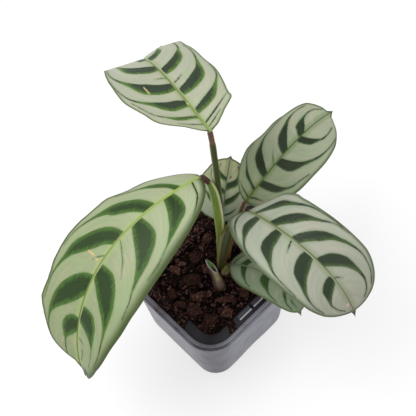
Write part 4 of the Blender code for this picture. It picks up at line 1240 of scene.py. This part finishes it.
BASE_SIDE = 0.081
POT_HEIGHT = 0.072
BASE_CORNER = 0.016
WALL = 0.0009
FLOOR = 0.0014
CENTRE_HALF = 0.008
LEDGE_DROP = 0.0035
LEDGE_INNER_HALF = 0.0315
LEDGE_FALL = 0.0009
CORNER_STEPS = 8
LEAST_CORNER = 0.15
FLANGE_INNER_HALF = 0.0403
MIX_SINK = 0.0022  # how far the body lies below the crumbs' tops, so that dark gaps show
BACK_HEAP = 0.0042  # the mix is heaped at the back corner, over the rim as well
BACK_PLACE = (-0.038, 0.033)
BACK_RADIUS = 0.016
SPILL_RINGS = 20
SPILL_DEPTH = 0.45 * MM  # how far the spill's edge is sunk in the ledge, and its underside
SPILL_UNDERSIDE = 0.7 * MM
SPILL_RISE = 0.9 * MM
# Degrees round the axis from X between which the ledge is covered, and over which the cover ends.
SPILL_FROM, SPILL_FROM_FADE = 28, 14
SPILL_TO, SPILL_TO_FADE = 289, 8
# A thinner patch of spilled mix: where it lies, how wide it is, in degrees, and how full.
SPILL_PATCH, SPILL_PATCH_WIDTH, SPILL_PATCH_COVER = 338, 5, 0.6
MIX_RINGS = 56
MIX_SIDE_POINTS = 56
# Round crumbs that shape the mix's surface: random seed, how many, and their greatest radius.
BODY_LUMPS = (5, 1500, 1.6 * MM)
SPILL_LUMPS = (6, 2600, 1.5 * MM)
LUMP_SHARE = 0.8  # share of a round crumb's height that shows, and of all of them in the surface
LUMP_RELIEF = 0.6
CRUMB_SPILL = 0.8 * MM  # how high crumbs stand on a covered ledge, and how far they pass its inner edges
RIM_SINK = 0.4 * MM  # how far crumbs on the rim are sunk in it
RIM_BARE = 0.8  # millimetres of heap below which no crumbs lie on the rim


def outer_half(z):
    """Half the pot's width at a height."""
    return (BASE_SIDE + (RIM_SIDE - BASE_SIDE) * z / POT_HEIGHT) / 2


def square_loop(half, z):
    """A square with round corners, as four quarter turns of one corner and the straight side after it."""
    at_wall = BASE_CORNER + (RIM_CORNER - BASE_CORNER) * z / POT_HEIGHT
    radius = max(at_wall - (outer_half(z) - half), half * LEAST_CORNER)
    straight = half - radius
    quarter = []
    for step in range(CORNER_STEPS + 1):
        angle = step * pi / 2 / CORNER_STEPS
        quarter.append((straight + radius * cos(angle), straight + radius * sin(angle)))
    for k in range(1, MIX_SIDE_POINTS + 1):
        quarter.append((straight * (1 - 2 * k / (MIX_SIDE_POINTS + 1)), half))
    turns = ((1, 0), (0, 1), (-1, 0), (0, -1))
    return np.array([(x * c - y * s, x * s + y * c, z) for c, s in turns for x, y in quarter])


def heap(x, y):
    """Height of the extra mix at the back corner."""
    return mound(x, y, BACK_PLACE, BACK_HEAP, BACK_RADIUS)


def crumb_relief(points, seed, count, radius, reach):
    """Height added by half-sunk round crumbs scattered over a square, at each place."""
    scatter = np.random.default_rng(seed)
    centres = scatter.uniform(-reach, reach, (count, 2))
    sizes = scatter.uniform(0.5, 1.0, count) * radius
    rise = np.zeros(len(points))
    for centre, size in zip(centres, sizes):
        away = np.hypot(points[:, 0] - centre[0], points[:, 1] - centre[1])
        near = away < size
        rise[near] = np.maximum(rise[near], np.sqrt(size**2 - away[near] ** 2) * LUMP_SHARE)
    return rise


def mix_piece(name, loops, finish, replaced, ends, seed, palest):
    """A body of mix through square loops, in slightly varied dark tones: painted shade for the gaps between
    crumbs.
    """
    vertices = np.vstack(loops)
    tone = np.random.default_rng(seed).uniform(0.0, palest, len(vertices))
    faces = tube_faces(len(loops), len(loops[0]), ends)
    mesh_piece(name, vertices, faces, finish, replaced, {"tone": tone}, 80, outwards=True)


def make_mix(finish):
    """The body of the mix, lumpy on top, filling the pot to just below its ledge."""
    under_ledge = POT_HEIGHT - LEDGE_DROP - LEDGE_FALL - WALL - GAP
    neck = LEDGE_INNER_HALF - GAP
    clearance = WALL + 2 * GAP
    profile = (
        (CENTRE_HALF, FLOOR + 3 * GAP),
        (outer_half(FLOOR + GAP) - clearance, FLOOR + 3 * GAP),
        (outer_half(under_ledge) - clearance, under_ledge),
        (neck, under_ledge),
        (neck, SOIL_LEVEL - SOIL_EDGE_DROP),
    )
    loops = [square_loop(half, z) for half, z in profile]
    for k in range(MIX_RINGS):
        loop = square_loop((neck - GAP) * (1 - k / MIX_RINGS), SOIL_LEVEL)
        x, y = loop[:, 0], loop[:, 1]
        lumps = crumb_relief(loop, *BODY_LUMPS, neck)
        loop[:, 2] = soil_height(x, y) + heap(x, y) - MIX_SINK + LUMP_RELIEF * lumps
        loops.append(loop)
    # Its tones reach 0.12 at most: near black, as painted shade in the gaps between the crumbs.
    mix_piece("mix_body", loops, finish, ("soil",), True, 9, 0.12)


def spill_cover(x, y):
    """How fully the mix covers the ledge: wholly at the back and the front's left, and in one patch."""
    angle = np.degrees(np.arctan2(y, x)) % 360
    start = np.clip((angle - SPILL_FROM) / SPILL_FROM_FADE, 0, 1)
    end = np.clip((SPILL_TO - angle) / SPILL_TO_FADE, 0, 1)
    on_right = SPILL_PATCH_COVER * np.exp(-(((angle - SPILL_PATCH) / SPILL_PATCH_WIDTH) ** 2))
    return np.maximum(start * end, on_right)


def make_spill(finish):
    """Mix spilled over the ledge, as a lumpy strip whose underside is sunk in the plastic."""
    inner, outer = LEDGE_INNER_HALF - 2 * GAP, FLANGE_INNER_HALF - GAP
    ledge_inner, ledge_outer = POT_HEIGHT - LEDGE_DROP - LEDGE_FALL, POT_HEIGHT - LEDGE_DROP
    loops = []
    for share in np.linspace(0, 1, SPILL_RINGS):
        loop = square_loop(inner + (outer - inner) * share, POT_HEIGHT)
        x, y = loop[:, 0], loop[:, 1]
        ledge = ledge_inner + (ledge_outer - ledge_inner) * share
        rise = SPILL_RISE + LUMP_RELIEF * crumb_relief(loop, *SPILL_LUMPS, outer)
        loop[:, 2] = ledge - SPILL_DEPTH + spill_cover(x, y) * rise + heap(x, y)
        loops.append(loop)
    for half, low in ((outer, ledge_outer), (inner, ledge_inner)):
        loop = square_loop(half, POT_HEIGHT)
        loop[:, 2] = low - SPILL_UNDERSIDE
        loops.append(loop)
    loops.append(loops[0])
    # Near black as well, as painted shade in the gaps between the crumbs on the ledge.
    mix_piece("mix_spill", loops, finish, (), False, 8, 0.2)


def ball(level):
    """Vertices and triangles of a unit ball."""
    shape = bmesh.new()
    bmesh.ops.create_icosphere(shape, subdivisions=level, radius=1.0)
    vertices = np.array([v.co for v in shape.verts])
    faces = np.array([[v.index for v in f.verts] for f in shape.faces])
    shape.free()
    return vertices, faces


def random_turns(scatter, count):
    """Rotation matrices, evenly spread."""
    q = scatter.normal(size=(count, 4))
    w, x, y, z = (q / np.linalg.norm(q, axis=1, keepdims=True)).T
    rows = [
        [1 - 2 * (y * y + z * z), 2 * (x * y - z * w), 2 * (x * z + y * w)],
        [2 * (x * y + z * w), 1 - 2 * (x * x + z * z), 2 * (y * z - x * w)],
        [2 * (x * z - y * w), 2 * (y * z + x * w), 1 - 2 * (x * x + y * y)],
    ]
    return np.array(rows).transpose(2, 0, 1)


def broken_lumps(scatter, vertices, count, planes, reach, rough):
    """Unit lumps, each cut by planes into a broken piece with flat faces and crisp edges."""
    normals = scatter.normal(size=(count, planes, 3))
    normals[:, :6] = np.vstack([np.eye(3), -np.eye(3)]) * 3 + 0.6 * normals[:, :6]
    normals /= np.linalg.norm(normals, axis=2, keepdims=True)
    cut = scatter.uniform(*reach, (count, 1, planes))
    facing = np.maximum(np.einsum("vk,npk->nvp", vertices, normals), 1e-3)
    radius = np.minimum((cut / facing).min(2), 1.3)[..., None]
    return vertices[None] * radius * (1 + scatter.uniform(-rough, rough, (count, len(vertices), 1)))


def rim_reach(x, y):
    """How far a place lies from the pot's axis, measured along the rim's rounded square."""
    straight = RIM_SIDE / 2 - RIM_CORNER
    return straight + np.hypot(np.maximum(np.abs(x) - straight, 0), np.maximum(np.abs(y) - straight, 0))


def mix_top(x, y):
    """Height of the mix or of what is spilled, how much lies there, and its depth on the rim."""
    over = np.maximum(np.abs(x), np.abs(y)) > LEDGE_INNER_HALF - CRUMB_SPILL
    on_rim = rim_reach(x, y) > FLANGE_INNER_HALF - CRUMB_SPILL
    ledge = POT_HEIGHT - LEDGE_DROP - LEDGE_FALL / 2 + CRUMB_SPILL * spill_cover(x, y)
    level = np.where(on_rim, POT_HEIGHT - RIM_SINK, np.where(over, ledge, soil_height(x, y)))
    cover = np.where(on_rim, heap(x, y) / MM - RIM_BARE, np.where(over, spill_cover(x, y), 1.0))
    return level + heap(x, y), cover, np.where(on_rim, heap(x, y), 0.0)


# Each piece of crumbs: random seed, how many are scattered, least and greatest length in millimetres, how
# finely the ball they are cut from is divided, how far in millimetres they are lifted, their tones from dark
# to pale, their width and thickness against their length, the band round the mix's middle where they lie,
# and whether they lie on the rim alone.
Crumbs = namedtuple(
    "Crumbs",
    "seed count sizes level lifts tones width thickness band only_rim",
    defaults=((0.35, 0.85), (0.2, 0.6), (0.0, FLANGE_INNER_HALF), False),
)
CRUMBS = {
    "crumbs_large": Crumbs(21, 140, (3.4, 7.0), 4, (-0.8, 0.9), (0.1, 0.8)),
    "crumbs_middle": Crumbs(22, 900, (1.8, 4.2), 2, (-1.4, 1.0), (0.0, 0.9)),
    "crumbs_small": Crumbs(23, 1500, (0.8, 1.8), 1, (-1.8, 0.6), (0.0, 0.9)),
    "crumbs_ledge": Crumbs(25, 6400, (1.0, 3.4), 2, (0.0, 0.9), (0.0, 0.9), band=(0.0308, 0.0450)),
    "crumbs_rim": Crumbs(
        26, 9000, (1.8, 4.4), 2, (0.0, 0.6), (0.0, 0.5), band=(0.0345, 0.0462), only_rim=True
    ),
    "fibres": Crumbs(24, 240, (3.0, 7.0), 1, (0.0, 1.2), (0.3, 0.9), (0.05, 0.12), (0.04, 0.1)),
}
# How lumps are broken: by how many planes, how far from the middle, and how rough their faces are.
CRUMB_CUTS = (9, (0.45, 1.0), 0.05)
CHIP_CUTS = (12, (0.72, 0.95), 0.0)


def make_crumbs(name, look, finish):
    """Broken crumbs of bark and peat, or fibres, lying on the mix and joined in one piece."""
    scatter = np.random.default_rng(look.seed)
    vertices, faces = ball(look.level)
    least, greatest = look.sizes[0] * MM, look.sizes[1] * MM
    reach = look.band[1] - least / 2
    places = scatter.uniform(-reach, reach, (look.count, 2))
    ground, cover, depth = mix_top(*places.T)
    kept = (scatter.uniform(0.05, 1, look.count) < cover) & (rim_reach(*places.T) < reach)
    kept &= np.abs(places).max(1) > look.band[0]
    if look.only_rim:
        kept &= depth > 0
    places, ground, depth, count = places[kept], ground[kept], depth[kept], int(kept.sum())
    size = scatter.uniform(0, 1, count) ** 1.6 * (greatest - least) + least
    across = [scatter.uniform(*limits, count) for limits in (look.width, look.thickness)]
    stretch = np.stack([np.ones(count), *across], -1)
    body = broken_lumps(scatter, vertices, count, *CRUMB_CUTS) * stretch[:, None] * size[:, None, None] / 2
    body = np.einsum("nij,nkj->nki", random_turns(scatter, count), body)
    lift = scatter.uniform(*look.lifts, count) * MM + 0.2 * size * stretch[:, 2]
    body = body + np.column_stack([places, ground + lift])[:, None]
    every = faces[None] + (np.arange(count) * len(vertices))[:, None, None]
    tone = np.repeat(scatter.uniform(*look.tones, count), len(vertices))
    # On the rim they lie anywhere in the heap's depth.
    body[..., 2] -= (scatter.uniform(0, 1, count) * depth)[:, None]
    mesh_piece(name, body.reshape(-1, 3), every.reshape(-1, 3), finish, (), {"tone": tone}, 28)


def mix_material():
    """Composted bark and peat: crumbly, damp and brown, near black in the gaps as painted shade."""
    made, tree, shader = new_material("composted bark mix", 0.7, 0.08)
    tone = add(tree, "Attribute", attribute_name="tone").outputs["Fac"]
    grain = add(tree, "TexNoise", (add(tree, "TexCoord").outputs["Object"], 700.0, 5.0))
    tone_and_gap_shade = add(tree, "Math", (grain, 1.1, tone), operation="MULTIPLY_ADD")
    browns = (
        (0.0, "#030202"), (0.2, "#120b09"), (0.45, "#33211c"), (0.7, "#533b33"), (0.88, "#7a5e53"),
        (1.0, "#b8a498"),
    )
    soil = add(tree, "ValToRGB", (add(tree, "MapRange", (tone_and_gap_shade, 0.4, 1.7)),), stops=browns)
    rough = add(tree, "MapRange", (grain, 0.35, 0.65, 0.5, 0.9))
    bump = add(tree, "Bump", {"Strength": 0.9, "Distance": 0.5 * MM, "Height": grain})
    feed(tree, shader, {"Base Color": soil, "Roughness": rough, "Normal": bump})
    return made


# Bark chips that lie on the mix: centre, length, width, thickness, then yaw and tilt in degrees.
Chip = namedtuple("Chip", "place size yaw tilt")
CHIPS = (
    Chip((-0.0100, -0.0090), (0.0150, 0.0100, 0.0026), 80, 14),
    Chip((-0.0240, -0.0120), (0.0080, 0.0065, 0.0028), 20, 10),
    Chip((-0.0080, 0.0040), (0.0080, 0.0070, 0.0045), 40, 20),
    Chip((0.0020, -0.0150), (0.0125, 0.0048, 0.0042), 72, 6),
    Chip((0.0180, -0.0030), (0.0140, 0.0048, 0.0044), 42, 5),
    Chip((0.0080, -0.0250), (0.0110, 0.0085, 0.0055), 10, 12),
    Chip((0.0205, -0.0215), (0.0120, 0.0090, 0.0060), 60, 8),
    Chip((0.0250, -0.0095), (0.0085, 0.0065, 0.0050), 100, 10),
    Chip((0.0235, 0.0100), (0.0100, 0.0080, 0.0055), 130, 10),
    Chip((-0.0130, -0.0270), (0.0085, 0.0060, 0.0045), 150, 15),
    Chip((-0.0025, -0.0280), (0.0085, 0.0060, 0.0045), 30, 15),
    Chip((-0.0200, 0.0050), (0.0110, 0.0080, 0.0045), 75, 12),
    Chip((0.0130, 0.0260), (0.0120, 0.0080, 0.0050), 15, 8),
    Chip((-0.0250, 0.0210), (0.0105, 0.0075, 0.0045), 110, 10),
    Chip((0.0260, 0.0240), (0.0090, 0.0070, 0.0050), 60, 12),
)
LAYERS = 4  # layers that a chip splits into over half its thickness
LAYER_STEP = 0.6  # how sharply it steps from one to the next
CHIP_UNDERSIDE = 40  # percentage of a chip's vertices that count as its underside
CHIP_LIFT = 0.3 * MM


def make_chips(finish):
    """Each chip is a flattened block with broken edges and steps where its layers have split."""
    vertices, faces = ball(5)
    for number, chip in enumerate(CHIPS, 1):
        scatter = np.random.default_rng(100 + number)
        lump = broken_lumps(scatter, vertices, 1, *CHIP_CUTS)[0]
        layers = lump[:, 2] + 0.10 * np.sin(lump[:, 0] * 5 + number) + 0.06 * np.sin(lump[:, 1] * 11)
        lump[:, 2] += LAYER_STEP * (np.round(layers * LAYERS) / LAYERS - layers)
        rough = [noise.noise(Vector(v) * 5 + Vector((number, 0, 0))) for v in lump.tolist()]
        fine = [noise.noise(Vector(v) * 17 + Vector((0, number, 0))) for v in lump.tolist()]
        lump += lump * (0.10 * np.array(rough) + 0.08 * np.array(fine))[:, None]
        turn = Matrix.Rotation(radians(chip.yaw), 3, "Z") @ Matrix.Rotation(radians(chip.tilt), 3, "Y")
        body = (lump * np.array(chip.size) / 2) @ np.array(turn).T + np.array([*chip.place, 0.0])
        low = body[body[:, 2] < np.percentile(body[:, 2], CHIP_UNDERSIDE)]
        body[:, 2] += np.mean(soil_height(low[:, 0], low[:, 1]) - low[:, 2]) + CHIP_LIFT
        tone = {"tone": np.full(len(body), scatter.uniform(0.2, 0.6))}
        mesh_piece(f"chip_{number:02d}", body, faces, finish, (f"bark_{number:02d}",), tone, 35)


def bark_material():
    """Pine bark: layered, matt, with darker cracks along the grain and worn reddish-brown faces."""
    made, tree, shader = new_material("pine bark", 0.8, 0.1)
    place = add(tree, "TexCoord").outputs["Object"]
    tone = add(tree, "Attribute", attribute_name="tone").outputs["Fac"]
    stretch = {"Vector": place, "Scale": (1.0, 0.35, 1.6), "Rotation": (0.3, 0.2, 0.9)}
    grain = add(tree, "TexNoise", (add(tree, "Mapping", stretch), 900.0, 5.0))
    mixed = add(tree, "Math", (tone, 0.5, grain), operation="MULTIPLY_ADD")
    browns = ((0.4, "#0a0504"), (0.58, "#2a1812"), (0.8, "#4a3128"), (1.0, "#7a5a4a"))
    bark = add(tree, "ValToRGB", (mixed,), stops=browns)
    bump = add(tree, "Bump", {"Strength": 0.8, "Distance": 0.4 * MM, "Height": grain})
    feed(tree, shader, {"Base Color": bark, "Normal": bump})
    return made


# The scene

make_camera()
make_lamps()
make_world()
make_floor()

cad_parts["pot"].data.materials[0] = pot_material()
for number, (name, leaf) in enumerate(LEAVES.items()):
    make_blade(number, name, leaf, leaf_material(number, name, PALETTES[name]))
    make_stalk(name, leaf, stalk_material(number, name, STALKS[name]))
make_shoot(sheath_material())
mix_finish = mix_material()
make_mix(mix_finish)
make_spill(mix_finish)
for name, look in CRUMBS.items():
    make_crumbs(name, look, mix_finish)
make_chips(bark_material())

bpy.context.scene.view_settings.view_transform = "Standard"
